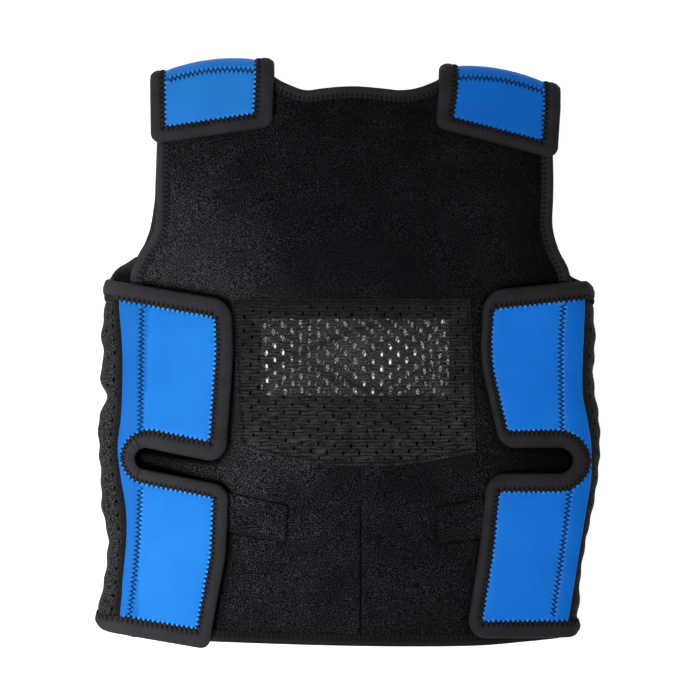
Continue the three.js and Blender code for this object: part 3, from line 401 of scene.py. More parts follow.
SHOULDERS = {
    LEFT: {
        "inner": (0.366, 0.372),
        "outer": (0.93, 0.924),
        "fold": (0.99, 0.966),
        "bow": 0.018,
        "tip": (0.883, 0.853),
    },
    RIGHT: {
        "inner": (0.389, 0.363),
        "outer": (0.94, 0.916),
        "fold": (0.982, 0.944),
        "bow": 0.017,
        "tip": (0.882, 0.828),
    },
}
SHOULDER_REACH = 12
SHOULDER_ARC = 39
SHOULDER_FROM = 0.3


def shoulder_crest(side, x):
    """Where a shoulder tab starts to fold down, at distances from the midline."""
    tab = SHOULDERS[side]
    inner, outer = tab["inner"][0], tab["outer"][0]
    t = np.clip((np.abs(x) / HALF_WIDTH - inner) / (outer - inner), 0, 1)
    line = tab["fold"][0] * (1 - t) + tab["fold"][1] * t + tab["bow"] * 4 * t * (1 - t)
    return LENGTH * line - SHOULDER_REACH


def over_shoulder(x, y):
    """How far the front panel drops where it turns over at a shoulder."""
    drop = np.zeros_like(x)
    for side in (LEFT, RIGHT):
        crest = shoulder_crest(side, x)
        past = np.clip((y - crest) / SHOULDER_REACH, 0, NEARLY_UPRIGHT)
        half = (lie_height(x, crest) + STACK - EDGE_REST) / 2
        under_tab = ((x < 0) == (side == LEFT)) & (np.abs(x) > HALF_WIDTH * SHOULDER_FROM)
        drop += under_tab * half * (1 - np.sqrt(1 - past**2))
    return drop


def front_middle(x, y):
    return smooth_middle(x, y) + soft_folds(x, y) - over_shoulder(x, y)


def tab_middle(x, y):
    return smooth_middle(x, y) + STACK


BACK_CURL = {"out": (0.6, 0.8), "low": (0.045, 0.1), "high": (0.84, 0.9)}


def back_middle(x, y):
    """The back panel rests flat, and curls up at its edges to make room for its tape."""
    out = eased(np.abs(x) / HALF_WIDTH, *BACK_CURL["out"])
    low = 1 - eased(y / LENGTH, *BACK_CURL["low"])
    high = eased(y / LENGTH, *BACK_CURL["high"])
    flat = PANEL_THICKNESS / 2
    return flat + (EDGE_REST - flat) * np.maximum(np.maximum(out, low), high)


midline = np.zeros(3)
print("heights up the midline:", np.round(front_middle(midline, LENGTH * np.array([0.1, 0.5, 0.9])), 1))

# %% [markdown]
# Surfaces with a flat cut
#
# A tailor cuts cloth flat and then folds it. A surface here does the same: it takes flat
# coordinates in millimetres and says where that spot of cloth ends up, and which way it faces. For
# the panels the flat coordinates are simply x and y. Past a fold they go on along the cloth.


# %% Surfaces
class Surface:
    """Where the middle of a cloth lies, as a function of its flat coordinates."""

    def __init__(self, place):
        self.place = place

    def frames(self, flat, step=0.35):
        u, v = flat[:, 0], flat[:, 1]
        along_u = self.place(u + step, v) - self.place(u - step, v)
        along_v = self.place(u, v + step) - self.place(u, v - step)
        normals = np.cross(along_u, along_v)
        return self.place(u, v), normals / np.linalg.norm(normals, axis=1, keepdims=True)


def lying(middle, lift=0.0):
    """A surface with x and y as its flat coordinates."""
    return Surface(lambda x, y: np.stack([x, y, middle(x, y) + lift], axis=1))


FRONT = lying(front_middle)
BACK = lying(back_middle)
TAB = lying(tab_middle)
sample, facing = FRONT.frames(np.array([[0.0, 200.0]]))
print("middle of the chest lies at", np.round(sample[0], 1), "facing", np.round(facing[0], 2))

# %% [markdown]
# Surfaces that fold
#
# A shoulder tab goes half round the shoulder, and a side mesh goes from the front round to the
# back. Both are arcs of an ellipse whose height is the room between the panels there. The slack
# mesh also bulges and ruffles, which is a wave that fades out at its two seams.

# %% Shoulders and gussets
JUST_PAST_HALF = 1.02


def shoulder_surface(side, lift=0.0):
    """Flat on the front panel up to the crest, and then half round the shoulder."""

    def place(x, v):
        crest = shoulder_crest(side, x)
        angle = math.pi / 2 - math.pi * np.clip((v - crest) / SHOULDER_ARC, 0, JUST_PAST_HALF)
        half = (lie_height(x, crest) + STACK - EDGE_REST) / 2
        folded = np.stack(
            [
                x,
                crest + (SHOULDER_REACH + lift) * np.cos(angle),
                EDGE_REST + half + (half + lift) * np.sin(angle),
            ],
            axis=1,
        )
        flat = np.stack([x, v, tab_middle(x, v) + lift], axis=1)
        return np.where((v > crest)[:, None], folded, flat)

    return Surface(place)


GUSSET_SPAN = {LEFT: 52, RIGHT: 37}
RUFFLE = 0.5
RUFFLE_LENGTH = 17


def gusset_surface(side):
    """The side mesh, from its seam with the blue cloth at u = 0 round the fold to the back panel."""

    def place(u, y):
        share = side * u / GUSSET_SPAN[side]
        gap = CLEARANCE + MESH_THICKNESS / 2
        crest, reach = CREST[side](y / LENGTH), REACH[side](y / LENGTH)
        half = side_fold_half(side, y)
        start = np.arccos(np.minimum((SEAM[side](y / LENGTH) + gap - crest) / reach, NEARLY_UPRIGHT))
        end = -np.arccos((SIDE_EDGE_OUT + gap) / reach)
        angle = start + (end - start) * share
        wave = MOST[side](y / LENGTH) - crest - reach
        middle = np.sin(math.pi * np.clip(share, 0, 1))
        ruffle = RUFFLE * middle * np.sin(2 * math.pi * (y / RUFFLE_LENGTH + share))
        out = crest + reach * np.cos(angle) + wave * middle + ruffle
        return np.stack([side * out, y, EDGE_REST + half * (1 + np.sin(angle))], axis=1)

    return Surface(place)


GUSSET = {side: gusset_surface(side) for side in (LEFT, RIGHT)}
sample, facing = GUSSET[LEFT].frames(np.array([[-26.0, 100.0]]))
print("the left mesh bulges out to", np.round(sample[0], 1), "facing", np.round(facing[0], 2))

# %% [markdown]
# Lines and outlines
#
# Every edge is a line of flat points with the cloth on its left. Three helpers do most of the
# work: a smooth line through points, points at even distances, and a line moved into its cloth.
# The last gives matching points at any depth, which tape needs on both of its edges.


# %% Helpers for lines
def smooth(points, steps=160):
    """A smooth line through points."""
    points = np.array(points, float)
    place = np.linspace(0, len(points) - 1, steps + 1)
    i = np.minimum(place.astype(int), len(points) - 2)
    t = (place - i)[:, None]
    before, a = points[np.maximum(i - 1, 0)], points[i]
    b, after = points[i + 1], points[np.minimum(i + 2, len(points) - 1)]
    start, end = (b - before) / 2, (after - a) / 2
    return (2 * a - 2 * b + start + end) * t**3 + (3 * b - 3 * a - 2 * start - end) * t**2 + start * t + a


def travelled(line):
    """How far along a line each of its points is."""
    return np.concatenate([[0], np.cumsum(np.linalg.norm(np.diff(line, axis=0), axis=1))])


def picked(line, places, measure=None):
    """Points of a line at distances along it, or at values of another measure."""
    measure = travelled(line) if measure is None else measure
    return np.stack([np.interp(places, measure, line[:, k]) for k in range(line.shape[1])], axis=1)


def spaced(line, spacing):
    length = travelled(line)[-1]
    return picked(line, np.linspace(0, length, max(2, round(length / spacing)) + 1))


def closed_and_spaced(loop, spacing):
    return spaced(np.concatenate([loop, loop[:1]]), spacing)[:-1]


def moved_in(line, distance, closed=False):
    """A line moved towards its cloth, with its corners kept sharp."""
    if closed:
        before, after = line - np.roll(line, 1, axis=0), np.roll(line, -1, axis=0) - line
    else:
        steps = np.diff(line, axis=0)
        before, after = np.concatenate([steps[:1], steps]), np.concatenate([steps, steps[-1:]])
    before = before / np.linalg.norm(before, axis=1, keepdims=True)
    after = after / np.linalg.norm(after, axis=1, keepdims=True)
    mean = before + after
    mean /= np.maximum(np.linalg.norm(mean, axis=1, keepdims=True), 1e-9)
    stretch = distance / np.maximum((mean * after).sum(1), 0.5)
    return line + stretch[:, None] * np.stack([-mean[:, 1], mean[:, 0]], axis=1)


bow = smooth([(0, 0), (50, 10), (100, 0)])
print("a bow over 100 mm is", round(travelled(bow)[-1], 1), "mm long")

# %% [markdown]
# Rounded corners
#
# A tab's edge is straight lines joined by arcs. The tape round it has two such edges, one inside
# the other, and their points have to match. So each stretch and each arc gets the same number of
# points at any depth, and an arc that would shrink to nothing keeps a least radius.


# %% A line with rounded corners
LEAST_RADIUS = 1.5
LEAST_ARC_STEPS = 6


def crossed(a, b):
    return a[0] * b[1] - a[1] * b[0]


def rounded(corners, distance, spacing=1.0):
    """A line through corners with a radius each, moved towards its cloth. Lines of the same corners
    have matching points."""
    places = [np.array(corner["at"], float) for corner in corners]
    starts, ways, counts = [], [], []
    for i in range(len(corners) - 1):
        way = places[i + 1] - places[i]
        counts.append(max(2, math.ceil(np.linalg.norm(way) / spacing)))
        ways.append(way / np.linalg.norm(way))
        off = distance * corners[i].get("face", 1)
        starts.append(places[i] + off * np.array([-ways[i][1], ways[i][0]]))
    line = []
    begin = starts[0]
    for i in range(1, len(corners) - 1):
        before, after = ways[i - 1], ways[i]
        cross = crossed(before, after)
        bend = math.copysign(1, cross)
        meet = starts[i - 1] + before * crossed(starts[i] - starts[i - 1], after) / cross
        radius = max(corners[i]["round"] - bend * distance, corners[i].get("least", LEAST_RADIUS))
        turn = abs(math.atan2(cross, before @ after))
        arc_start = meet - before * radius * math.tan(turn / 2)
        centre = arc_start + bend * radius * np.array([-before[1], before[0]])
        line += [begin + (arc_start - begin) * k / counts[i - 1] for k in range(counts[i - 1])]
        arc_steps = max(LEAST_ARC_STEPS, math.ceil(turn * corners[i]["round"] / spacing))
        for k in range(arc_steps):
            angle = bend * turn * k / arc_steps
            arm = arc_start - centre
            swung = [
                arm[0] * math.cos(angle) - arm[1] * math.sin(angle),
                arm[0] * math.sin(angle) + arm[1] * math.cos(angle),
            ]
            line.append(centre + swung)
        begin = meet + after * radius * math.tan(turn / 2)
    finish = places[-1] + distance * np.array([-ways[-1][1], ways[-1][0]])
    line += [begin + (finish - begin) * k / counts[-1] for k in range(counts[-1] + 1)]
    return np.array(line)


bracket = rounded([{"at": (0, 0)}, {"at": (40, 0), "round": 10}, {"at": (40, 40)}], 0)
print("a right angle with a radius of 10 mm has", len(bracket), "points")

# %% [markdown]
# Beside a line
#
# Seams, tape and creases all press on the cloth beside them. For that each point of the cloth asks
# how far it is from a line, on which side of it, and how far along.


# %% Distances from a line
def beside(line, points):
    """How far points are from a line, to its left or to its right, and where along it."""
    nearest = np.full(len(points), np.inf)
    signed, place = np.zeros(len(points)), np.zeros(len(points))
    for a, b, start in zip(line[:-1], line[1:], travelled(line)):
        along = b - a
        length = max(np.linalg.norm(along), 1e-9)
        t = np.clip(((points - a) @ along) / length**2, 0, 1)
        off = points - a - t[:, None] * along
        distance = np.linalg.norm(off, axis=1)
        closer = distance < nearest
        nearest[closer] = distance[closer]
        left = along[0] * off[:, 1] - along[1] * off[:, 0]
        signed[closer] = (np.sign(left) * distance)[closer]
        place[closer] = (start + t * length)[closer]
    return nearest, signed, place


def distance_to(line, points):
    return beside(line, points)[0]


print("the bow's middle is", round(distance_to(bow, np.array([[50.0, 0.0]]))[0], 1), "mm from its chord")


# %% [markdown]
# Making a piece
#
# A Blender mesh is made from points and faces. This step moves the points into the frame, turns
# the faces outwards, shades the mesh smooth with sharp edges kept, and notes each point's place on
# the flat cut as an attribute called cut, so that a weave can follow the cloth round a fold. Its
# third value is a tint of painted light and shade: above nought for painted highlights, below
# nought for painted shade in grooves, folds, seams and slots and beside the tabs. Every piece rides
# on the vest's one body. Most stand for a CAD node, which is hidden.

# %% Helpers for pieces
SHARP_ANGLE = math.radians(55)


def volume(points, faces):
    """Six times the volume inside the faces, below nought if they face inwards."""
    total = 0.0
    for corners in range(1, 3):
        large = [face for face in faces if len(face) > corners + 1]
        fan = np.array([[face[0], face[corners], face[corners + 1]] for face in large])
        if len(fan):
            a, b, c = points[fan[:, 0]], points[fan[:, 1]], points[fan[:, 2]]
            total += (a * np.cross(b, c)).sum()
    return total


def make_piece(name, points, faces, cut, material, node=None, tint=None):
    if volume(points, faces) < 0:
        faces = [face[::-1] for face in faces]
    mesh = bpy.data.meshes.new(name)
    mesh.from_pydata(((points + MIDLINE_AND_HEM) / 1000).tolist(), [], [list(face) for face in faces])
    mesh.polygons.foreach_set("use_smooth", [True] * len(faces))
    mesh.set_sharp_from_angle(angle=SHARP_ANGLE)
    attribute = mesh.attributes.new("cut", "FLOAT_VECTOR", "POINT")
    third = np.zeros(len(cut)) if tint is None else tint
    attribute.data.foreach_set("vector", np.column_stack([cut, third]).astype(np.float32).ravel())
    mesh.materials.append(material)
    piece = bpy.data.objects.new(name, mesh)
    bpy.context.scene.collection.objects.link(piece)
    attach(piece, "root")
    if node:
        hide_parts(node)
    triangles = sum(len(face) - 2 for face in faces)
    print(f"{name}: {triangles} triangles")
    return piece


print("a point at the hem's middle moves by", MIDLINE_AND_HEM.tolist(), "mm into the frame")


# %% [markdown]
# Loop-faced neoprene
#
# The black cloth is neoprene with a brushed loop face, made for hook tape to grip. Close up it is
# a pile of tiny black loops, and some catch the light. Real loops would be millions of hairs, so
# the finish gives the flecks and the rough relief instead: a fine noise picks the flecks, and a
# slow noise makes patches where the pile leans another way.
#
# The cloth also has painted light at the left of the chest and low down, and painted shade in the
# middle and at the sides. Slow ramps over the vest make the flecks and the ground between them
# follow that. A ramp runs from 0 to 1, so the place on the vest is scaled to fit first.

# %% Finish of the loop face
HEM_GAIN = 1.5
PAINTED_LIGHT_GAIN = 2.3
PAINTED_LIGHT_SLANT = 0.2
PAINTED_LIGHT_LEVEL = 0.6
PILE_SCALE = 1350
LEAN_SCALE = 34
TUFT_SCALE = 420

loop_face = Finish("loop_face")
spot = loop_face.place()
up_vest = loop_face.part_of(spot, "Y") * 2 + 0.5
# Painted light and shade by place: lighter low down, painted shade at the sides and in the middle, and
# painted light at the left of the chest, on the flecks and on the ground.
painted_light_heights = [(0.08, 0.3), (0.22, 0.5), (0.33, 0.88), (0.45, 0.56), (0.6, 0.4), (0.85, 0.42)]
painted_light_lower_down = loop_face.ramp(up_vest, painted_light_heights) * HEM_GAIN
across_vest = loop_face.part_of(spot, "X") + 0.5
painted_shade_at_sides = loop_face.ramp(across_vest, [(0.345, 0.3), (0.365, 1.0), (0.595, 0.95), (0.645, 0.2)])
painted_shade_columns = [(0.44, 0.0), (0.475, 0.5), (0.5, 0.8), (0.56, 0.85), (0.595, 0.4)]
painted_shade_rows = [(0.13, 0.05), (0.2, 0.2), (0.26, 0.45), (0.32, 0.78), (0.4, 0.6), (0.55, 0.42)]
painted_shade_middle = loop_face.ramp(across_vest, painted_shade_columns) * loop_face.ramp(up_vest, painted_shade_rows)
slant = across_vest + (up_vest - PAINTED_LIGHT_LEVEL) * PAINTED_LIGHT_SLANT
painted_light_left = loop_face.ramp(slant, [(0.38, 1.0), (0.41, 0.78), (0.435, 0.36), (0.47, 0.0)])
lit_rows = [(0.3, 0.1), (0.5, 0.8), (0.64, 1.0), (0.7, 0.85), (0.75, 0.45), (0.8, 0.3)]
painted_light_left = painted_light_left * loop_face.ramp(up_vest, lit_rows)
pile = loop_face.noise(spot, PILE_SCALE, 3.0)
lean = loop_face.noise(spot, LEAN_SCALE, 3.0)
flecks = loop_face.ramp(pile, [(0.5, 0.0), (0.63, 1.0)])
flecks = flecks * loop_face.ramp(lean, [(0.32, 0.45), (0.68, 1.0)])
tufts = loop_face.noise(spot, TUFT_SCALE, 2.0)
flecks_with_painted_light = flecks * painted_light_lower_down * painted_shade_at_sides * (1 - painted_shade_middle) * (painted_light_left * PAINTED_LIGHT_GAIN + 1)
ground = loop_face.mix(painted_light_left, colour(0.0028, 0.0028, 0.004), colour(0.013, 0.013, 0.015))
loops = loop_face.mix(flecks_with_painted_light, ground, colour(0.08, 0.08, 0.089))
# The cut's tint is painted shade: in the centre seam, along the pocket lines, in the slots and under and
# beside the tabs.
painted_shade_tint = loop_face.part_of(loop_face.cut(), "Z") * -1
loop_neoprene = loop_face.done(
    {
        "Base Color": loop_face.mix(painted_shade_tint, loops, colour(0.0004, 0.0004, 0.0006)),
        "Roughness": 0.95,
        "Specular IOR Level": 0.04,
        "Normal": loop_face.bump(pile * 0.7 + tufts * 0.5, 0.0011, 0.9),
    }
)

# %% [markdown]
# Blue neoprene
#
# The tabs have a smooth knitted face. Its stitches are finer than half a millimetre and run up the
# cloth, so the noise that makes them is stretched along the vest. A slow change of colour keeps
# the large blue areas from looking like plastic. The tabs on the right get painted shade, and the
# tint of the cut paints highlights on pucker crests and shade in their hollows and at the seams.

# %% Finish of the blue face
PAINTED_LIGHT_STRENGTH = 0.8
STITCH_STRETCH = (2.4, 1.0, 1.0)
STITCH_SCALE = 1500
BLUE_CLOUD_SCALE = 26
BLUE_GRAIN_SCALE = 520

blue_face = Finish("blue_face")
spot = blue_face.place()
knit = blue_face.noise(blue_face.scaled(spot, STITCH_STRETCH), STITCH_SCALE, 1.0)
cloud = blue_face.noise(spot, BLUE_CLOUD_SCALE, 3.0)
grain = blue_face.noise(spot, BLUE_GRAIN_SCALE, 2.0)
shade = knit * 0.35 + cloud * 0.45 + grain * 0.2
# Painted shade on the right-hand tabs.
across_vest = blue_face.part_of(spot, "X") + 0.5
in_shade = blue_face.ramp(across_vest, [(0.48, 0.0), (0.52, 1.0)])
blue = blue_face.mix(
    blue_face.ramp(shade, [(0.36, 0.0), (0.64, 1.0)]),
    blue_face.mix(in_shade, colour(0.005, 0.195, 0.72), colour(0.0025, 0.17, 0.74)),
    blue_face.mix(in_shade, colour(0.011, 0.258, 0.85), colour(0.0055, 0.226, 0.89)),
)
# The cut's tint: painted highlights on pucker crests, and painted shade in hollows, at seams and beyond
# them.
stretch = blue_face.part_of(blue_face.cut(), "Z")
blue = blue_face.mix(stretch * PAINTED_LIGHT_STRENGTH, blue, colour(0.2, 0.58, 1.0))
blue = blue_face.mix(stretch * -PAINTED_LIGHT_STRENGTH, blue, colour(0.0, 0.04, 0.25))
blue_neoprene = blue_face.done(
    {
        "Base Color": blue,
        "Roughness": blue_face.ramp(grain, [(0.3, 0.5), (0.7, 0.66)]),
        "Specular IOR Level": 0.14,
        "Normal": blue_face.bump(knit * 0.6 + grain * 0.4, 0.00028, 0.7),
    }
)

# %% [markdown]
# Tape and thread
#
# The tape is a thick stretch knit, dark grey rather than black, with very fine ribs. It gets
# painted light on the left tabs and painted shade on the right ones. The hem and parts of the back
# panel get a copy of the same tape with painted shade. Thread is a little glossier.

# %% Finishes of tape and thread
TAPE_LIGHT = 0.4
TAPE_SHADE = 0.16
TAPE_RIB = 0.9
TAPE_KNIT_SCALE = 1300
TAPE_CLOUD_SCALE = 60
TWIST_SCALE = 3200


def tape_finish(name, dark, light):
    """A ribbed knit, with painted shade where stitches pull it in, painted light on the left and painted
    shade on the right.
    """
    face = Finish(name)
    cut = face.cut()
    ribs = (face.part_of(cut, "X") * (2 * math.pi / TAPE_RIB)).maths("SINE") * 0.5 + 0.5
    knit = face.noise(face.place(), TAPE_KNIT_SCALE, 2.0)
    cloud = face.noise(face.place(), TAPE_CLOUD_SCALE, 2.0)
    shade = face.mix(face.ramp(knit * 0.5 + cloud * 0.5, [(0.35, 0.0), (0.65, 1.0)]), dark, light)
    across_vest = face.part_of(face.place(), "X") + 0.5
    # Painted light on the left of the vest and painted shade on the right.
    in_light = face.ramp(across_vest, [(0.34, TAPE_LIGHT), (0.42, 0.0)])
    in_shade = face.ramp(across_vest, [(0.48, 0.0), (0.52, TAPE_SHADE)])
    shade = face.mix(in_light, shade, colour(0.06, 0.06, 0.068))
    shade = face.mix(in_shade, shade, colour(0.001, 0.001, 0.0015))
    return face.done(
        {
            "Base Color": face.mix(face.part_of(cut, "Z") * -1, shade, colour(0.001, 0.001, 0.0015)),
            "Roughness": 0.8,
            "Specular IOR Level": 0.12,
            "Normal": face.bump(knit * 0.7 + ribs * 0.3, 0.0003, 0.6),
        }
    )


tape_cloth = tape_finish("tape_face", colour(0.019, 0.019, 0.022), colour(0.034, 0.034, 0.04))
# A copy of the same tape with painted shade, for the hem and parts of the back panel.
shaded_tape_cloth = tape_finish("shaded_tape_face", colour(0.008, 0.008, 0.0095), colour(0.014, 0.014, 0.017))

thread_face = Finish("thread_face")
spot = thread_face.place()
twist = thread_face.noise(spot, TWIST_SCALE, 1.0)
sewing_thread = thread_face.done(
    {
        "Base Color": thread_face.mix(twist, colour(0.002, 0.002, 0.003), colour(0.009, 0.009, 0.011)),
        "Roughness": 0.6,
        "Specular IOR Level": 0.15,
        "Normal": thread_face.bump(twist, 0.0002, 0.8),
    }
)

# %% [markdown]
# Mesh and hook tape
#
# The sports mesh in the windows is a sheer knit with ribs across. Its large holes are cut in the
# mesh itself, but the gaps between its yarns are too many for that, so the finish makes them
# see-through. It gets painted light towards the hem and painted shade down the middle. Where the
# mesh is folded it is double: it lets less through, and it is darker, partly from the double layer
# and partly as painted shade. The mesh at the sides is thicker and lumpy, with painted light on the
# left, painted shade on the right and painted shade beside its seam. Hook tape is a field of tiny
# plastic hooks, so it gets a pattern of small even cells, raised in the middle.

# %% Finishes of mesh and hook tape
RIB_PITCH = 2.4
RIB_WANDER = 9.0
HOOK_SCALE = 700.0


def window_knit(name, see_through):
    """A sheer knit with ribs across, streaked by its yarn, with painted light towards the hem."""
    face = Finish(name)
    cut = face.cut()
    wander = face.noise(face.scaled(cut, (0.05, 0.2, 1.0)), 1.0, 2.0)
    turns = face.part_of(cut, "Y") * (2 * math.pi / RIB_PITCH) + wander * RIB_WANDER
    ribs = turns.maths("SINE") * 0.5 + 0.5
    yarn = face.noise(face.scaled(cut, (0.15, 0.9, 1.0)), 1.0, 3.0)
    cloud = face.noise(cut, 0.06, 3.0)
    grain = face.noise(cut, 1.2, 2.0)
    shade = ribs * 0.07 + yarn * 0.38 + cloud * 0.14 + grain * 0.41
    # Painted light towards the hem, with painted shade down the middle.
    painted_light_lower_down = 0.62 - face.part_of(face.place(), "Y") * 5.0
    across_vest = face.part_of(face.place(), "X") + 0.5
    painted_light_lower_down = painted_light_lower_down * face.ramp(across_vest, [(0.45, 1.0), (0.49, 0.7), (0.54, 0.7), (0.57, 1.0)])
    # Darker and less see-through at the wrinkles: the mesh is double there, and the darkening is partly
    # painted shade.
    folded = face.part_of(cut, "Z") + 1
    streaks = face.ramp(shade, [(0.455, 0.0), (0.585, 1.0)]) * painted_light_lower_down * folded
    return face.done(
        {
            "Base Color": face.mix(streaks, colour(0.008, 0.008, 0.0095), colour(0.088, 0.088, 0.097)),
            "Roughness": 0.75,
            "Specular IOR Level": 0.12,
            "Alpha": 1 - face.ramp(grain, [(0.44, 0.1), (0.6, 1.0)]) * folded * see_through,
            "Normal": face.bump(ribs * 0.3 + yarn * 0.8 + grain * 0.6, 0.0009, 1.0),
        }
    )


front_knit = window_knit("front_window_knit", 0.66)
back_knit = window_knit("back_window_knit", 0.5)

gusset_face = Finish("gusset_face")
cut = gusset_face.cut()
lumps = gusset_face.noise(cut, 0.5, 2.0)
grain = gusset_face.noise(cut, 1.05, 1.0)
shade = lumps * 0.35 + grain * 0.65
# Painted shade beside the seam with the blue cloth, painted light on the left and painted shade on the
# right.
round_side = gusset_face.part_of(cut, "X").maths("ABSOLUTE") * 0.1
from_seam = gusset_face.ramp(round_side, [(0.1, 0.15), (0.55, 1.0)])
across_vest = gusset_face.part_of(gusset_face.place(), "X") + 0.5
in_light = gusset_face.ramp(across_vest, [(0.45, 0.85), (0.55, 0.25)])
gusset_knit = gusset_face.done(
    {
        "Base Color": gusset_face.mix(
            gusset_face.ramp(shade, [(0.45, 0.0), (0.66, 1.0)]) * from_seam * in_light,
            colour(0.0025, 0.0025, 0.003),
            colour(0.095, 0.095, 0.1),
        ),
        "Roughness": 0.75,
        "Specular IOR Level": 0.2,
        "Normal": gusset_face.bump(lumps * 0.7 + grain * 0.5, 0.0016, 1.0),
    }
)

hook_face = Finish("hook_face")
cells = {"Vector": hook_face.place(), "Scale": HOOK_SCALE, "Randomness": 0.2}
hooks = hook_face.node("ShaderNodeTexVoronoi", {"feature": "F1"}, cells)
hook_tape = hook_face.done(
    {
        "Base Color": hook_face.mix(hooks, colour(0.03, 0.03, 0.032), colour(0.006, 0.006, 0.007)),
        "Roughness": 0.6,
        "Normal": hook_face.bump(1 - hooks, 0.0008, 0.9),
    }
)

# %% [markdown]
# Cutting cloth
#
# A piece of cloth starts as an outline. Its inside is filled with points in even rows, and a
# triangulation that respects the outline joins them, round any holes. Each point then goes to the
# surface twice, half the thickness up and half down. Near the edge both faces can curve together
# into a soft rim, and a relief can press seams and dents into them.


# %% Helpers that cut cloth
LONGEST_EDGE_STEP = 2.5
RIM_RINGS = (0.3, 1.0)


def crossed_area(loop):
    """Twice the area inside a loop, above nought if it runs anticlockwise."""
    after = np.roll(loop, -1, axis=0)
    return (loop[:, 0] * after[:, 1] - loop[:, 1] * after[:, 0]).sum()


def filling(outline, spacing):
    """Points in even rows inside an outline, kept off its edge."""
    low, high = outline.min(0), outline.max(0)
    row_gap = spacing * math.sqrt(3) / 2
    rows = np.arange(low[1] + row_gap / 2, high[1], row_gap)
    points = []
    loop = np.concatenate([outline, outline[:1]])
    for i, v in enumerate(rows):
        a, b = loop[:-1], loop[1:]
        hit = (a[:, 1] > v) != (b[:, 1] > v)
        crossings = a[hit, 0] + (v - a[hit, 1]) / (b[hit, 1] - a[hit, 1]) * (b[hit, 0] - a[hit, 0])
        for start, end in crossings[np.argsort(crossings)].reshape(-1, 2):
            first = math.ceil(start / spacing - i % 2 / 2)
            last = math.floor(end / spacing - i % 2 / 2)
            points += [((k + i % 2 / 2) * spacing, v) for k in range(first, last + 1)]
    points = np.array(points).reshape(-1, 2)
    return points[distance_to(loop, points) > 0.55 * spacing]


def cut_cloth(outline, spacing, holes=(), rim=0.0, creases=()):
    """Triangles that fill an outline round its holes, and their flat points."""
    if crossed_area(outline) < 0:
        outline = outline[::-1]
    outline = closed_and_spaced(outline, min(spacing, LONGEST_EDGE_STEP))
    loop = np.concatenate([outline, outline[:1]])
    inner = [filling(outline, spacing)]
    if rim:
        for share in RIM_RINGS:
            ring = moved_in(outline, rim * share, closed=True)
            inner.append(ring[distance_to(loop, ring) > 0.9 * rim * share])
        clear = distance_to(loop, inner[0]) > rim + 0.4 * spacing
        inner[0] = inner[0][clear]
    for crease in creases:
        near = distance_to(crease, inner[0]) > 0.5 * spacing
        inner[0] = inner[0][near]
        inner.append(crease)
    loops = [outline, *holes]
    starts = np.cumsum([0] + [len(line) for line in loops])
    rings = [list(range(a, b)) for a, b in zip(starts[:-1], starts[1:])]
    points = np.concatenate([*loops, *inner])
    found = delaunay_2d_cdt([Vector(point) for point in points], [], rings, 1, 1e-5, True)
    flat, triangles, sources = np.array([tuple(v) for v in found[0]]), found[2], found[5]
    kept = np.array([triangle for triangle, inside in zip(triangles, sources) if list(inside) == [0]])
    used, renumbered = np.unique(kept, return_inverse=True)
    return flat[used], renumbered.reshape(-1, 3), loop


def cloth(node, surface, outline, thickness, spacing, material, slot, rim=0.0, relief=None, **cutting):
    """A piece of cloth, cut to an outline and laid on a surface."""
    flat, triangles, loop = cut_cloth(outline, spacing, rim=rim, **cutting)
    points, normals = surface.frames(flat)
    half = np.full(len(flat), thickness / 2)
    if rim:
        from_edge = np.clip(distance_to(loop, flat) / rim, 0.01, 1)
        half *= np.sqrt(1 - (1 - from_edge) ** 2)
    pressed, tint = relief(flat) if relief else np.zeros((2, len(flat)))
    top = points + normals * (half + pressed)[:, None]
    bottom = points - normals * half[:, None]
    n = len(flat)
    sides = ((0, 1), (1, 2), (2, 0))
    edges = {(int(t[a]), int(t[b])) for t in triangles for a, b in sides}
    walls = [(a, a + n, b + n, b) for a, b in edges if (b, a) not in edges]
    upper = triangles.tolist()
    lower = [(c + n, b + n, a + n) for a, b, c in upper]
    everything = np.concatenate([top, bottom])
    both = np.concatenate([flat, flat])
    tints = np.concatenate([tint, np.zeros(n)])
    faces = upper + lower + walls
    piece = make_piece(node + "_cloth", everything, faces, both, material, node, tints)
    piece["cut_area"] = abs(crossed_area(loop[:-1])) / 2e6
    piece["cut_size"] = ((loop.max(0) - loop.min(0)) / 1000).tolist()
    return piece


swatch = np.array([(0.0, 0.0), (30.0, 0.0), (30.0, 20.0), (0.0, 20.0)])
swatch_triangles = len(cut_cloth(swatch, 3.2)[1])
print("a swatch of", crossed_area(swatch) / 2, "square mm has", swatch_triangles, "triangles a side")


# %% [markdown]
# Edges and tape
#
# Each raw edge is wrapped in a folded tape and sewn with a zigzag that bites half into the tape and
# half into the cloth. The tape swells between its nose and the stitching, dips under each stitch,
# and its free edge waves with them. It gathers where it goes round the inside of a bend. One
# profile across the tape, moved along the edge, makes all of that.

# %% Helpers for tape
ZIGZAG_PITCH = 3.4
TAPE_PUFF = 0.75
TAPE_WAVE = 0.16
TAPE_DENT = 0.75
STITCH_DIP = 0.3
STITCH_BAND_PAINTED_SHADE = 0.16
STITCH_DENT_PAINTED_SHADE = 0.8
GATHER_LENGTH = 6.0
GATHER_DEPTH = 1.3
GATHERS_FROM = 1.6
GATHERS_RANGE = 1.2


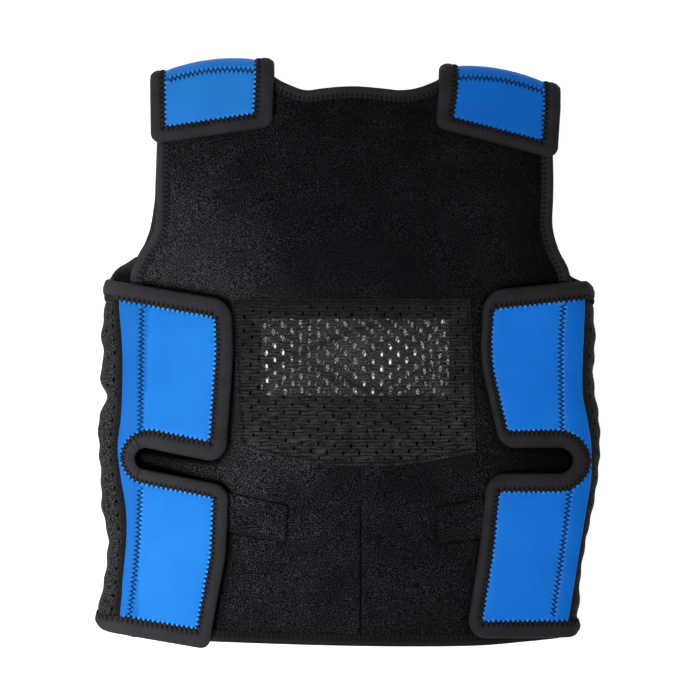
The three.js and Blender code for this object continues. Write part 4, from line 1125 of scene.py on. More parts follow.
class Edge:
    """A stretch of edge on a surface, as matching lines on the edge and one tape's width in."""

    def __init__(self, surface, outer, inner, spacing, grip):
        self.surface = surface
        self.grip = grip
        longest = np.maximum(np.diff(travelled(outer)), np.diff(travelled(inner)))
        measure = np.concatenate([[0], np.cumsum(longest)])
        places = np.linspace(0, measure[-1], max(2, round(measure[-1] / spacing)) + 1)
        self.outer = picked(outer, places, measure)
        self.inner = picked(inner, places, measure)
        self.inner_length = travelled(self.inner)
        self.outer_length = travelled(self.outer)

    def flat(self, share):
        return self.outer + (self.inner - self.outer) * np.reshape(share, (-1, 1))

    def gathers(self):
        """Puckers of the tape where it goes round the inside of a bend."""
        stretch = np.gradient(self.inner_length) / np.maximum(np.gradient(self.outer_length), 0.02)
        tight = np.clip((stretch - GATHERS_FROM) / GATHERS_RANGE, 0, 1)
        tight = np.convolve(tight, np.ones(5) / 5, "same")
        place = math.pi * self.inner_length / GATHER_LENGTH
        uneven = 0.65 + 0.35 * np.sin(1.7 * place + 0.5)
        return -GATHER_DEPTH * tight * uneven * np.cos(place + 1.1 * np.sin(0.6 * place)) ** 6


def tape_profile(width, grip):
    """Points round a folded tape: distance from its nose, height, and how much it waves and dips."""
    hold = grip / 2 + CLEARANCE
    skin = hold + TAPE_THICKNESS
    nose = [
        (0.85 * skin * (1 - math.cos(angle)), skin * math.sin(angle), 0, 0)
        for angle in np.radians([0, 22, 45, 66, 85])
    ]
    face = [
        (0.36 * width, skin + TAPE_PUFF, 0, 0),
        (0.52 * width, skin + TAPE_PUFF * 0.95, 0, 0),
        (width - 4.4, skin + TAPE_PUFF * 0.6, 0.1, 0.1),
        (width - 3.3, skin - TAPE_DENT * 0.35, 0.3, 0.6),
        (width - 2.4, skin - TAPE_DENT * 0.8, 0.5, 1),
        (width - 1.4, skin - TAPE_DENT * 0.8, 0.7, 1),
        (width - 0.6, skin - TAPE_DENT * 0.75, 1, 0.8),
        (width - 0.1, skin - TAPE_DENT - 0.3, 1, 0.3),
        (width, hold + 0.2, 1, 0),
    ]
    inside = [(width - 0.2, hold, 1, 0), (TAPE_THICKNESS, hold, 0, 0)]
    upper = np.array(nose + face + inside)
    lower = upper[::-1] * [1, -1, 1, 1]
    puffed = np.abs(lower[:, 1]) > skin
    lower[puffed, 1] = -skin - 0.1
    return np.concatenate([upper, lower[:-1]])


def end_cap(count, first, turned):
    """Closes the end of a tape: quads between its upper and its lower layer."""
    half = (count + 1) // 2
    upper = list(range(half))
    lower = [(-k) % count for k in range(half)]
    quads = []
    for k in range(half - 1):
        quad = [upper[k], upper[k + 1], lower[k + 1], lower[k]]
        unique = list(dict.fromkeys(quad))
        if len(unique) > 2:
            quads.append([first + p for p in (unique[::-1] if turned else unique)])
    return quads


def tape(node, edges, width, material=None):
    """A folded tape along one or more edges that follow each other."""
    parts, cut_parts, tint_parts = [], [], []
    run = 0.0
    for edge in edges:
        profile = tape_profile(width, edge.grip)
        bulge = profile[:, 1] > edge.grip / 2 + CLEARANCE + TAPE_THICKNESS * 0.3
        phase = 2 * math.pi * (edge.inner_length / ZIGZAG_PITCH - 0.75)
        gathers = edge.gathers()
        rings, cuts, tints = [], [], []
        for (distance, height, waves, dips), bulges in zip(profile, bulge):
            reach = (distance + waves * TAPE_WAVE * np.cos(phase)) / width
            lift = height + math.copysign(dips * STITCH_DIP, height) * np.cos(phase)
            lift = lift + gathers * (bulges and distance < width - 3)
            # Painted shade in the stitched band, darkest in each stitch's dent.
            tints.append(-dips * (STITCH_BAND_PAINTED_SHADE + STITCH_DENT_PAINTED_SHADE * (0.5 - 0.5 * np.cos(phase)) ** 3))
            points, normals = edge.surface.frames(edge.flat(reach))
            rings.append(points + normals * np.reshape(lift, (-1, 1)))
            cuts.append(np.stack([edge.inner_length + run, np.full(len(points), distance)], axis=1))
        run += edge.inner_length[-1]
        parts.append(np.stack(rings, axis=1))
        cut_parts.append(np.stack(cuts, axis=1))
        tint_parts.append(np.stack(tints, axis=1))
    count = len(profile)
    points, cut = np.concatenate(parts), np.concatenate(cut_parts)
    stations = len(points)
    i, k = np.meshgrid(np.arange(stations - 1), np.arange(count), indexing="ij")
    a, b = i * count + k, i * count + (k + 1) % count
    faces = np.stack([a, a + count, b + count, b], axis=-1).reshape(-1, 4).tolist()
    faces += end_cap(count, 0, False) + end_cap(count, (stations - 1) * count, True)
    points, cut, tint = points.reshape(-1, 3), cut.reshape(-1, 2), np.concatenate(tint_parts).ravel()
    name = node + "_tape"
    return make_piece(name, points, faces, cut, material or tape_cloth, node, tint)


profile_points = len(tape_profile(TAB_TAPE, TAB_THICKNESS))
print("a tab's tape has", profile_points, "points round it and waves every", ZIGZAG_PITCH, "mm")

# %% [markdown]
# Thread
#
# A stitch is a small arched tube whose ends dive into the cloth. A zigzag goes over the free edge
# of a tape, or along a seam in the middle of a cloth. Each end of a stitch is moved a little at
# random, because sewing is never quite even. All stitches of a seam make one mesh.

# %% Helpers for thread
ZIGZAG_ON_TAPE = 2.6
ZIGZAG_ON_CLOTH = 1.1
THREAD_RADIUS = 0.29
STITCH_JITTER = 0.13
STITCH_SINK = 0.15
stitch_chance = np.random.default_rng(11)
THREAD_STATIONS = np.array([0, 0.14, 0.5, 0.86, 1])
THREAD_ARCH = np.array([-0.55, 0.12, 0.3, 0.12, -0.55])
THREAD_SIDES = 5


def thread_tubes(surface, starts, ends, start_lifts, end_lifts):
    """Arched tubes of thread between flat points, each lifted off the surface at both ends."""
    t = THREAD_STATIONS[None, :, None]
    flat = starts[:, None] * (1 - t) + ends[:, None] * t
    points, normals = surface.frames(flat.reshape(-1, 2))
    shape = (len(starts), len(THREAD_STATIONS), 3)
    points, normals = points.reshape(shape), normals.reshape(shape)
    lifts = start_lifts[:, None] * (1 - t[..., 0]) + end_lifts[:, None] * t[..., 0] + THREAD_ARCH
    centres = points + normals * lifts[..., None]
    ways = np.gradient(centres, axis=1)
    ways /= np.linalg.norm(ways, axis=2, keepdims=True)
    across = np.cross(ways, normals)
    across /= np.linalg.norm(across, axis=2, keepdims=True)
    above = np.cross(across, ways)
    angles = 2 * math.pi * np.arange(THREAD_SIDES) / THREAD_SIDES
    ring = across[:, :, None] * np.cos(angles)[:, None] + above[:, :, None] * np.sin(angles)[:, None]
    return (centres[:, :, None] + THREAD_RADIUS * ring).reshape(len(starts), -1, 3)


def sew(name, rows):
    """One piece of all the stitches in the rows."""
    tubes = np.concatenate([thread_tubes(*row) for row in rows])
    sides, length = THREAD_SIDES, len(THREAD_STATIONS)
    i, k = np.meshgrid(np.arange(length - 1), np.arange(sides), indexing="ij")
    a, b = i * sides + k, i * sides + (k + 1) % sides
    walls = np.stack([a, b, b + sides, a + sides], axis=-1).reshape(-1, 4)
    step = tubes.shape[1]
    faces = (walls[None] + (np.arange(len(tubes)) * step)[:, None, None]).reshape(-1, 4).tolist()
    for first in range(0, len(tubes) * step, step):
        faces.append([first + k for k in range(sides)][::-1])
        faces.append([first + (length - 1) * sides + k for k in range(sides)])
    points = tubes.reshape(-1, 3)
    return make_piece(name, points, faces, points[:, :2], sewing_thread)


def jittered(flat):
    """Stitches are never quite even."""
    return flat + stitch_chance.normal(0, STITCH_JITTER, flat.shape)


def zigzag_along(edge, width):
    """A zigzag over the free edge of a tape."""
    places = np.arange(ZIGZAG_PITCH / 4, edge.inner_length[-1], ZIGZAG_PITCH / 2)
    outer = picked(edge.outer, places, edge.inner_length)
    inner = picked(edge.inner, places, edge.inner_length)
    on_tape = np.arange(len(places)) % 2 == 0
    real_width = np.linalg.norm(inner - outer, axis=1)
    share = np.where(on_tape, 1 - ZIGZAG_ON_TAPE / width, 1 + ZIGZAG_ON_CLOTH / real_width)
    flat = jittered(outer + (inner - outer) * share[:, None])
    skin = edge.grip / 2 + CLEARANCE + TAPE_THICKNESS
    lifts = np.where(on_tape, skin - TAPE_DENT * 0.8 + STITCH_DIP, edge.grip / 2 - STITCH_SINK)
    return edge.surface, flat[:-1], flat[1:], lifts[:-1], lifts[1:]


def zigzag_on(surface, line, pitch, width, lift):
    """A zigzag along a line in the middle of a cloth."""
    line = spaced(line, pitch / 2)
    swing = np.where(np.arange(len(line)) % 2 == 0, width / 2, -width / 2)
    steps = np.gradient(line, axis=0)
    steps /= np.linalg.norm(steps, axis=1, keepdims=True)
    flat = jittered(line + swing[:, None] * np.stack([-steps[:, 1], steps[:, 0]], axis=1))
    lifts = np.full(len(flat), lift)
    return surface, flat[:-1], flat[1:], lifts[:-1], lifts[1:]


print("a stitch has", len(THREAD_STATIONS) * THREAD_SIDES, "points")

# %% [markdown]
# Edges of the body panels
#
# The two body panels have almost the same cut: a hem, two sides, two armholes and a neckline. The
# tables hold the points of the front and the back, measured from the photograph. A bare outline
# lies just inside the tapes, except where a side or a shoulder is sewn to something else.

# %% Lines of the body panels
NECK = {
    LEFT: [(0, 0.9532), (0.08, 0.9522), (0.15, 0.9496), (0.226, 0.9467), (0.302, 0.9564), (0.365, 0.9685)],
    RIGHT: [(0, 0.9532), (0.077, 0.9513), (0.14, 0.949), (0.2, 0.9467), (0.274, 0.9496), (0.36, 0.9607)],
}
NECK_END = 0.385
HEM = [(-0.97, 0.018), (-0.63, 0.0102), (0, 0.003), (0.51, 0.003), (0.77, 0.0102), (0.94, 0.016)]
FRONT_CUT = {
    LEFT: [
        (1.013, 0.639), (0.985, 0.6585), (0.958, 0.6765), (0.93, 0.692),
        (0.908, 0.71), (0.899, 0.735), (0.899, 0.78), (0.899, 0.87),
    ],
    RIGHT: [
        (0.965, 0.6446), (0.94, 0.662), (0.918, 0.68), (0.9, 0.704),
        (0.894, 0.726), (0.898, 0.76), (0.9, 0.8), (0.898, 0.87),
    ],
    "side_top": {LEFT: 0.618, RIGHT: 0.618},
    "side_out": {LEFT: 8.5, RIGHT: 6.5},
    "hem_rise": 0,
    "neck_drop": 0,
    "short": -6,
}
BACK_CUT = {
    LEFT: [
        (0.985, 0.6735), (0.965, 0.6858), (0.954, 0.696), (0.936, 0.7167),
        (0.918, 0.7588), (0.914, 0.79), (0.91, 0.831), (0.907, 0.87),
    ],
    RIGHT: [
        (0.962, 0.656), (0.944, 0.6663), (0.9255, 0.6765), (0.9025, 0.697),
        (0.8934, 0.7177), (0.889, 0.738), (0.898, 0.79), (0.8935, 0.87),
    ],
    "side_top": {LEFT: 0.664, RIGHT: 0.641},
    "side_out": {LEFT: SIDE_EDGE_OUT, RIGHT: SIDE_EDGE_OUT},
    "hem_rise": 5,
    "neck_drop": 6,
    "short": CLEARANCE,
}
SLOT_COVER = 6.0


def panel_edge(side, y, cut):
    """The side of a panel. The front one reaches further out behind the slot between the tabs."""
    up = y / LENGTH
    out = cut["side_out"][side]
    if out > SIDE_EDGE_OUT:
        out = out + SLOT_COVER * (1 - eased(up, 0.4, 0.55)) * eased(up, 0.06, 0.2)
    return side * (CREST[side](up) + out)


def shoulder_end(side, x, cut):
    return shoulder_crest(side, x) - cut["short"]


def panel_lines(cut):
    """Hem, sides and neckline of a panel, each with the cloth on its left."""
    hem = [(HALF_WIDTH * out, LENGTH * up + cut["hem_rise"]) for out, up in HEM]
    hem[0] = (float(panel_edge(LEFT, hem[0][1], cut)), hem[0][1])
    hem[-1] = (float(panel_edge(RIGHT, hem[-1][1], cut)), hem[-1][1])
    lines = {"hem": smooth(hem)}
    neck = {}
    for side in (LEFT, RIGHT):
        ys = np.linspace(hem[0 if side == LEFT else -1][1], LENGTH * cut["side_top"][side], 90)
        lower = np.stack([panel_edge(side, ys, cut), ys], axis=1)
        points = [(side * HALF_WIDTH * out, LENGTH * up) for out, up in cut[side]]
        top = (points[-1][0], float(shoulder_end(side, np.array(points[-1][0]), cut)))
        whole = np.concatenate([lower, smooth([lower[-1], *points, top])[1:]])
        lines[side] = whole if side == RIGHT else whole[::-1]
        out = side * HALF_WIDTH * NECK_END
        end = float(shoulder_end(side, np.array(out), cut)) - CLEARANCE
        neck[side] = [
            *[(side * HALF_WIDTH * o, LENGTH * up - cut["neck_drop"]) for o, up in NECK[side]],
            (out, end),
        ]
    lines["neck"] = smooth(neck[RIGHT][::-1] + neck[LEFT][1:])
    return lines


def bare_outline(lines, cut, sewn_below):
    """Outline of a panel inside its tapes. Sewn sides and shoulder ends have none."""

    def widened(line):
        sewn = (line[:, 1] < sewn_below)[:, None]
        return line + sewn * np.sign(line) * [BARE_INSET, 0]

    def shoulder(side, start, end):
        xs = np.linspace(start[0], end[0], 24)
        return np.stack([xs, shoulder_end(side, xs, cut) + BARE_INSET], axis=1)

    hem, right, neck, left = lines["hem"], lines[RIGHT], lines["neck"], lines[LEFT]
    loop = np.concatenate(
        [
            hem[1:-1],
            widened(right[:-1]),
            shoulder(RIGHT, right[-1], neck[0]),
            neck[1:-1],
            shoulder(LEFT, neck[-1], left[0]),
            widened(left[1:]),
        ]
    )
    return moved_in(closed_and_spaced(loop, 4.0), BARE_INSET, closed=True)


front_lines = panel_lines(FRONT_CUT)
back_lines = panel_lines(BACK_CUT)
print("front hem is", round(travelled(front_lines["hem"])[-1]), "mm long")

# %% [markdown]
# Edges of the side tabs
#
# The side tabs' own edges are needed early, for the painted shadow that they cast on the panel
# below. Each corner has a place, a radius and the width of tape that shows before it.

# %% Lines of the side tabs
AROUND = [0, 0.25, 0.45, 0.6, 0.75, 0.9, 1]
MESH_HEM = {
    LEFT: Curve(AROUND, [0.0241, 0.031, 0.047, 0.049, 0.038, 0.026, 0.02]),
    RIGHT: Curve(AROUND, [0.0185, 0.022, 0.034, 0.04, 0.034, 0.026, 0.02]),
}
MESH_ARMHOLE = {
    LEFT: Curve(AROUND, [0.621, 0.626, 0.622, 0.634, 0.647, 0.657, 0.665]),
    RIGHT: Curve(AROUND, [0.6225, 0.615, 0.6125, 0.6195, 0.6245, 0.629, 0.635]),
}
TAB_CORNERS = {
    LEFT: [
        {"at": (0.664, -0.0015), "round": 0.45, "face": 0.84},
        {"at": (0.582, 0.16), "round": 5, "face": 0.84},
        {"at": (0.568, 0.276), "round": 0.85, "face": 0.78, "least": 2.5},
        {"at": (0.992, 0.3075), "round": 0.5, "face": 0.76},
        {"at": (0.992, 0.344), "round": 0.5, "face": 1.03},
        {"at": (0.583, 0.3125), "round": 0.9, "face": 0.97},
        {"at": (0.548, 0.5), "round": 5, "face": 0.95},
        {"at": (0.556, 0.589), "round": 1.15, "face": 1.06, "least": 4.5},
    ],
    RIGHT: [
        {"at": (0.5, 0.0175), "round": 0.9, "face": 0.72},
        {"at": (0.563, 0.17), "round": 6, "face": 0.72},
        {"at": (0.597, 0.2975), "round": 1.0, "face": 1.0, "least": 3.0},
        {"at": (0.985, 0.2975), "round": 0.7, "face": 0.9},
        {"at": (0.985, 0.341), "round": 0.7, "face": 0.95},
        {"at": (0.657, 0.3395), "round": 0.95, "face": 0.54},
        {"at": (0.563, 0.49), "round": 8, "face": 0.54},
        {"at": (0.583, 0.606), "round": 1.2, "face": 1.06, "least": 4.0},
    ],
}
ROOT_FACE = {LEFT: 1.04, RIGHT: 0.95}
TAB_CORNER_RADIUS = 14


def tab_corners(side):
    def root(up):
        return {"at": (-float(SEAM[side](up)), LENGTH * up), "round": 0, "face": ROOT_FACE[side]}

    corners = [
        {
            **corner,
            "at": (-HALF_WIDTH * corner["at"][0], LENGTH * corner["at"][1]),
            "round": TAB_CORNER_RADIUS * corner["round"],
        }
        for corner in TAB_CORNERS[side]
    ]
    return [root(float(MESH_HEM[side](0))), *corners, root(float(MESH_ARMHOLE[side](0)))]


def tab_line(side, distance):
    return rounded(tab_corners(side), distance) * [-side, 1]


print("a side tab's edge is", round(travelled(tab_line(LEFT, 0))[-1]), "mm long")

# %% [markdown]
# Windows
#
# Each panel has a window with mesh sewn over it. A window is four edges: the sides lean, so they
# have a place at the bottom and one at the top, and the bottom tilts and sags. The front one's mesh
# shows whole. The back one is smaller, to judge from where light comes through both.

# %% Window outlines
WINDOW_LAP = 6
FRONT_WINDOW = {
    "left": (-0.52, -0.56),
    "right": (0.546, 0.522),
    "bottom": (0.3405, 0.334),
    "top": 0.592,
    "sag": 0.028,
}
BACK_WINDOW = {
    "left": (-0.43, -0.43),
    "right": (0.43, 0.43),
    "bottom": (0.428, 0.428),
    "top": 0.559,
    "sag": 0.0,
}


def window_outline(window, grow):
    """A window's edge. Its sides lean a little, and its bottom sags and tilts."""
    left = [HALF_WIDTH * out - grow for out in window["left"]]
    right = [HALF_WIDTH * out + grow for out in window["right"]]
    bottom = [LENGTH * up - grow for up in window["bottom"]]
    top = LENGTH * window["top"] + grow
    t = np.linspace(0, 1, 24)
    xs = left[0] + (right[0] - left[0]) * t
    ys = bottom[0] + (bottom[1] - bottom[0]) * t - LENGTH * window["sag"] * 4 * t * (1 - t)
    return np.concatenate([np.stack([xs, ys], axis=1), [(right[1], top), (left[1], top)]])


window_size = np.ptp(window_outline(FRONT_WINDOW, 0), axis=0)
print("the front window's mesh is", np.round(window_size).tolist(), "mm")

# %% [markdown]
# What presses on the front panel
#
# A seam runs up the middle below the window, where two layers meet: a groove with a soft lip on
# both sides and painted shade in it. The outlines of two small pocket patches show as faint pressed
# lines with painted shade. Under and beside the tabs and in the slots the cloth gets painted shadow.
# One relief gives all of these, and rows of points beside each line make the cloth fine enough there.

# %% Relief of the front panel
CENTRE_SEAM_X = 3.9
CENTRE_SEAM_LOW = 10.0
CENTRE_SEAM_TOP = 97.0
CENTRE_SEAM_FADE = (6, 5)
SEAM_DEPTH = 1.5
SEAM_WIDTH = 0.75
CENTRE_SEAM_PAINTED_SHADE = 0.75
LIP_HEIGHT = 0.45
LIP_WIDTH = 2.6


def centre_seam(flat):
    """A groove with soft lips up the middle of the front panel, with painted shade in the groove."""
    across = flat[:, 0] - CENTRE_SEAM_X
    low, high = CENTRE_SEAM_FADE
    begins = eased(flat[:, 1], CENTRE_SEAM_LOW - low, CENTRE_SEAM_LOW)
    along = begins * (1 - eased(flat[:, 1], CENTRE_SEAM_TOP, CENTRE_SEAM_TOP + high))
    groove = -SEAM_DEPTH * np.exp(-((across / SEAM_WIDTH) ** 2))
    lips = LIP_HEIGHT * np.exp(-((across / LIP_WIDTH) ** 2))
    return along * (groove + lips), -CENTRE_SEAM_PAINTED_SHADE * along * np.exp(-((across / SEAM_WIDTH) ** 2))


PATCH_CORNERS = {
    LEFT: [(-90.5, 82.0), (-48.5, 73.5), (-46.5, 100.0), (-89.0, 109.4)],
    RIGHT: [(57.0, 72.5), (90.5, 77.5), (90.0, 105.5), (56.4, 98.9)],
}
PATCH_LINE_PAINTED_SHADE = 0.5
PATCH_LINE_WIDTH = 1.1
PATCH_GROOVE = 0.7
PATCH_GROOVE_WIDTH = 1.3
SLOT_PLACE = (0.92, 0.319)
SLOT_SIZE = (0.24, 0.035)
# Painted shadow in the slots between the side tabs, and under and beside the tabs.
SLOT_PAINTED_SHADE = 0.6
TAB_PAINTED_SHADOW = {LEFT: 0.85, RIGHT: 0.5}
TAB_SHADOW_WIDTH = 4.0

patch_outlines = {side: np.array(corners) for side, corners in PATCH_CORNERS.items()}
patch_loops = {side: np.concatenate([line, line[:1]]) for side, line in patch_outlines.items()}


def front_relief(flat):
    """Centre seam and pocket lines with painted shade, and painted shadow by the tabs and in the slots."""
    height, tint = centre_seam(flat)
    for side in (LEFT, RIGHT):
        line = distance_to(patch_loops[side], flat)
        height -= PATCH_GROOVE * np.exp(-((line / PATCH_GROOVE_WIDTH) ** 2))
        tint -= PATCH_LINE_PAINTED_SHADE * np.exp(-((line / PATCH_LINE_WIDTH) ** 2))
        slot = [side * SLOT_PLACE[0], SLOT_PLACE[1]]
        from_slot = np.abs(flat / [HALF_WIDTH, LENGTH] - slot) / SLOT_SIZE
        tint -= SLOT_PAINTED_SHADE * np.exp(-(from_slot**2).sum(1))
        edge = distance_to(tab_line(side, 0), flat)
        tint -= TAB_PAINTED_SHADOW[side] * np.exp(-((edge / TAB_SHADOW_WIDTH) ** 2))
    return height, np.maximum(tint, -1)


CENTRE_SEAM_ROWS = (-4.0, -2.0, -1.1, -0.5, 0.0, 0.5, 1.1, 2.0, 4.0)
PATCH_ROWS = (-1.2, 0, 1.2)
TAB_SHADOW_ROWS = (-0.5, -2.5, -4.8)

seam_ys = np.arange(6, CENTRE_SEAM_TOP + 6, 2.2)
creases = [
    np.stack([np.full(len(seam_ys), CENTRE_SEAM_X + off), seam_ys], axis=1) for off in CENTRE_SEAM_ROWS
]
creases += [
    closed_and_spaced(moved_in(line, off, closed=True), 2.0)
    for line in patch_outlines.values()
    for off in PATCH_ROWS
]
creases += [spaced(tab_line(side, off), 1.6) for side in (LEFT, RIGHT) for off in TAB_SHADOW_ROWS]
print("rows of points beside the pressed lines:", len(creases))

# %% [markdown]
# Front and back panels
#
# The front panel is one sheet with a window under the mesh. The back panel is cut the same way and
# rests on the table. The front hole is a little smaller than its mesh, which laps over it.

# %% Body panels
PANEL_SPACING = 3.2
PANEL_RIM = 1.2
BACK_TAPE_FROM = 0.622

front_hole = closed_and_spaced(window_outline(FRONT_WINDOW, -WINDOW_LAP), 3.0)
cloth(
    "front_panel",
    FRONT,
    bare_outline(front_lines, FRONT_CUT, 0),
    PANEL_THICKNESS,
    PANEL_SPACING,
    loop_neoprene,
    "loop_neoprene",
    rim=PANEL_RIM,
    relief=front_relief,
    holes=[front_hole],
    creases=creases,
)
back_hole = closed_and_spaced(window_outline(BACK_WINDOW, 0), 3.0)
cloth(
    "back_panel",
    BACK,
    bare_outline(back_lines, BACK_CUT, LENGTH * BACK_TAPE_FROM),
    PANEL_THICKNESS,
    PANEL_SPACING,
    loop_neoprene,
    "loop_neoprene",
    rim=PANEL_RIM,
    holes=[back_hole],
)

# %% [markdown]
# Tapes of the body panels
#
# The neckline, the armholes and the hem each have their own tape. The armhole tapes go on down the
# sides of the front panel, under the tabs. On the front panel their free edge is sewn with a zigzag
# in black thread, which shows only as a row of small dents. Tapes of the back panel hardly show, so
# they have fewer points and no stitches.

# %% Panel tapes and their stitches
TAPE_SPACING = 0.85
ARMHOLE_SPACING = 1.2
HIDDEN_SPACING = 2.0


def above(line, y):
    """The stretch of a line above a height."""
    return line[line[:, 1] > y]


def panel_tape(name, surface, line, spacing, material=None):
    line = spaced(line, 1.5)
    edge = Edge(surface, line, moved_in(line, PANEL_TAPE), spacing, PANEL_THICKNESS)
    tape(name, [edge], PANEL_TAPE, material)
    return edge


hem_top = front_lines["hem"][:, 1].max() + PANEL_TAPE + 2 * CLEARANCE
front_edges = {
    "neck": panel_tape("neck_binding", FRONT, front_lines["neck"], TAPE_SPACING),
    "hem": panel_tape("hem_binding", FRONT, front_lines["hem"], TAPE_SPACING, shaded_tape_cloth),
    LEFT: panel_tape("armhole_binding_left", FRONT, above(front_lines[LEFT], hem_top), ARMHOLE_SPACING),
    RIGHT: panel_tape("armhole_binding_right", FRONT, above(front_lines[RIGHT], hem_top), ARMHOLE_SPACING),
}
panel_tape("back_neck_binding", BACK, back_lines["neck"], HIDDEN_SPACING, shaded_tape_cloth)
panel_tape("back_hem_binding", BACK, back_lines["hem"], HIDDEN_SPACING)
for side in (LEFT, RIGHT):
    line = above(back_lines[side], LENGTH * BACK_TAPE_FROM)
    panel_tape("back_armhole_binding_" + SIDE_NAMES[side], BACK, line, HIDDEN_SPACING, shaded_tape_cloth)

sew("front_stitching", [zigzag_along(edge, PANEL_TAPE) for edge in front_edges.values()])

# %% [markdown]
# Holes in the mesh
#
# The mesh over each window is knitted with staggered rows of tall holes. They are cut as real
# holes, so that the table shines through where a hole of the front mesh lies over one of the back
# mesh. The rows bow with the bottom edge of the patch, as the knit does when its edge is sewn to a
# curve. The back mesh is turned a little and stretched, so its holes drift past those in front.

# %% Rows of holes
HOLE_PITCH = 11.4
HOLE_ROW = 4.7
HOLE_WIDTH = 1.6
HOLE_HEIGHT = 3.0
HOLE_MARGIN = 4.5
HOLE_CORNERS = 10
HOLE_START = (3.0, 2.0)
HOLE_JITTER = 0.16
HOLE_LEAN = 0.12
HOLE_SIZES = (0.85, 1.1)
WINDOW_HOLE_MARGIN = HOLE_MARGIN * 0.8


def hole_at(x, y, lean=0.0, size=1.0):
    angles = 2 * math.pi * np.arange(HOLE_CORNERS) / HOLE_CORNERS
    across, along = size * HOLE_WIDTH / 2 * np.cos(angles), size * HOLE_HEIGHT / 2 * np.sin(angles)
    return np.stack([x + across + lean * along, y + along], axis=1)


def inside(loop, points):
    """Whether points are inside a closed line."""
    a, b = loop[:-1], loop[1:]
    x, y = points[:, :1], points[:, 1:]
    crosses = (a[:, 1] > y) != (b[:, 1] > y)
    with np.errstate(divide="ignore", invalid="ignore"):
        at = a[:, 0] + (y - a[:, 1]) / (b[:, 1] - a[:, 1]) * (b[:, 0] - a[:, 0])
    return (crosses & (at > x)).sum(1) % 2 == 1


def window_holes(outline, warp, size, seed):
    """Staggered rows of holes inside an outline. The warp moves each hole."""
    chance = np.random.default_rng(seed)
    low, high = outline.min(0), outline.max(0)
    loop = np.concatenate([outline, outline[:1]])
    holes = []
    for row in range(-2, int((high[1] - low[1]) / HOLE_ROW) + 3):
        for column in range(-2, int((high[0] - low[0]) / HOLE_PITCH) + 3):
            x = low[0] + HOLE_START[0] + (column + row % 2 / 2) * HOLE_PITCH
            y = low[1] + HOLE_START[1] + row * HOLE_ROW
            dx, dy = warp(x, y)
            jitter = chance.normal(0, HOLE_JITTER, 2)
            centre = np.array([[x + dx + jitter[0], y + dy + jitter[1]]])
            if inside(loop, centre)[0] and distance_to(loop, centre)[0] > WINDOW_HOLE_MARGIN:
                lean = chance.normal(0, HOLE_LEAN)
                holes.append(hole_at(*centre[0], lean, size * chance.uniform(*HOLE_SIZES)))
    return holes


SAG_DEPTH = 7.0
SAG_HALF_WIDTH = 84
SAG_FROM = 205
SAG_HEIGHT = 60
ROW_CLIMB = 0.035
ROW_CLIMB_ENDS = 10


def front_warp(x, y):
    """The front rows sag with the bottom edge and climb a little to the left."""
    sag = -SAG_DEPTH * (1 - (x / SAG_HALF_WIDTH) ** 2) * np.clip((SAG_FROM - y) / SAG_HEIGHT, 0, 1)
    climb = ROW_CLIMB * min(x, ROW_CLIMB_ENDS)
    return 1.2 * math.sin(y / 17), sag - climb + 0.5 * math.sin(x / 19)


BACK_MIDDLE_Y = 200
BACK_STRETCH = (0.045, 0.05)
BACK_TURN = (0.06, 0.05)


def back_warp(x, y):
    """The back mesh lies turned a little, and its slack drifts in slow waves."""
    from_middle = y - BACK_MIDDLE_Y
    across = BACK_STRETCH[0] * x - BACK_TURN[1] * from_middle + 2.0 * math.sin(x / 23 + y / 30)
    along = BACK_TURN[0] * x + BACK_STRETCH[1] * from_middle + 1.4 * math.sin(x / 16 - y / 21)
    return across, along


print("holes are", HOLE_WIDTH, "by", HOLE_HEIGHT, "mm, in rows", HOLE_ROW, "mm apart")

# %% [markdown]
# Mesh over the windows
#
# The front mesh is slack and lies in two soft wrinkles, where it is double, lets no light
# through and gets painted shade. A zigzag holds its edges.

# %% Window meshes
WRINKLES = [
    [(-0.4, 0.478), (-0.2, 0.508), (-0.03, 0.535), (0.16, 0.553), (0.36, 0.556)],
    [(-0.24, 0.482), (-0.08, 0.458), (0.06, 0.44), (0.2, 0.436)],
]
WRINKLE_HEIGHT = 0.5
WRINKLE_WIDTH = 1.5
# Painted shade along the wrinkles. The same value makes the double mesh there less see-through.
WRINKLE_DARK = 0.6
WRINKLE_DARK_WIDTH = 1.4 * WRINKLE_WIDTH
FRONT_HOLES = {"warp": front_warp, "size": 1.0, "seed": 3}
BACK_HOLES = {"warp": back_warp, "size": 1.5, "seed": 4}
WINDOW_SPACING = 1.6
WINDOW_STITCH_INSET = 2.2
WINDOW_ZIGZAG_PITCH = 2.8
WINDOW_ZIGZAG_WIDTH = 2.4
THREAD_ABOVE_MESH = 0.05


def wrinkled(flat):
    """Small folds that the slack front mesh lies in, with painted shade along them."""
    height, tint = np.zeros(len(flat)), np.zeros(len(flat))
    for wrinkle in WRINKLES:
        line = smooth([(HALF_WIDTH * out, LENGTH * up) for out, up in wrinkle], 24)
        distance, _, place = beside(line, flat)
        ends = np.sin(math.pi * np.clip(place / travelled(line)[-1], 0, 1)) ** 0.5
        height += WRINKLE_HEIGHT * ends * np.exp(-((distance / WRINKLE_WIDTH) ** 2))
        tint -= ends * np.exp(-((distance / WRINKLE_DARK_WIDTH) ** 2))
    return height, WRINKLE_DARK * np.maximum(tint, -1)


def window_mesh(name, middle, outline, holes, finish, relief=None):
    lift = PANEL_THICKNESS / 2 + CLEARANCE + MESH_THICKNESS / 2
    cloth(
        name,
        lying(middle, lift),
        outline,
        MESH_THICKNESS,
        WINDOW_SPACING,
        finish,
        "sports_mesh",
        relief=relief,
        holes=window_holes(outline, **holes),
    )


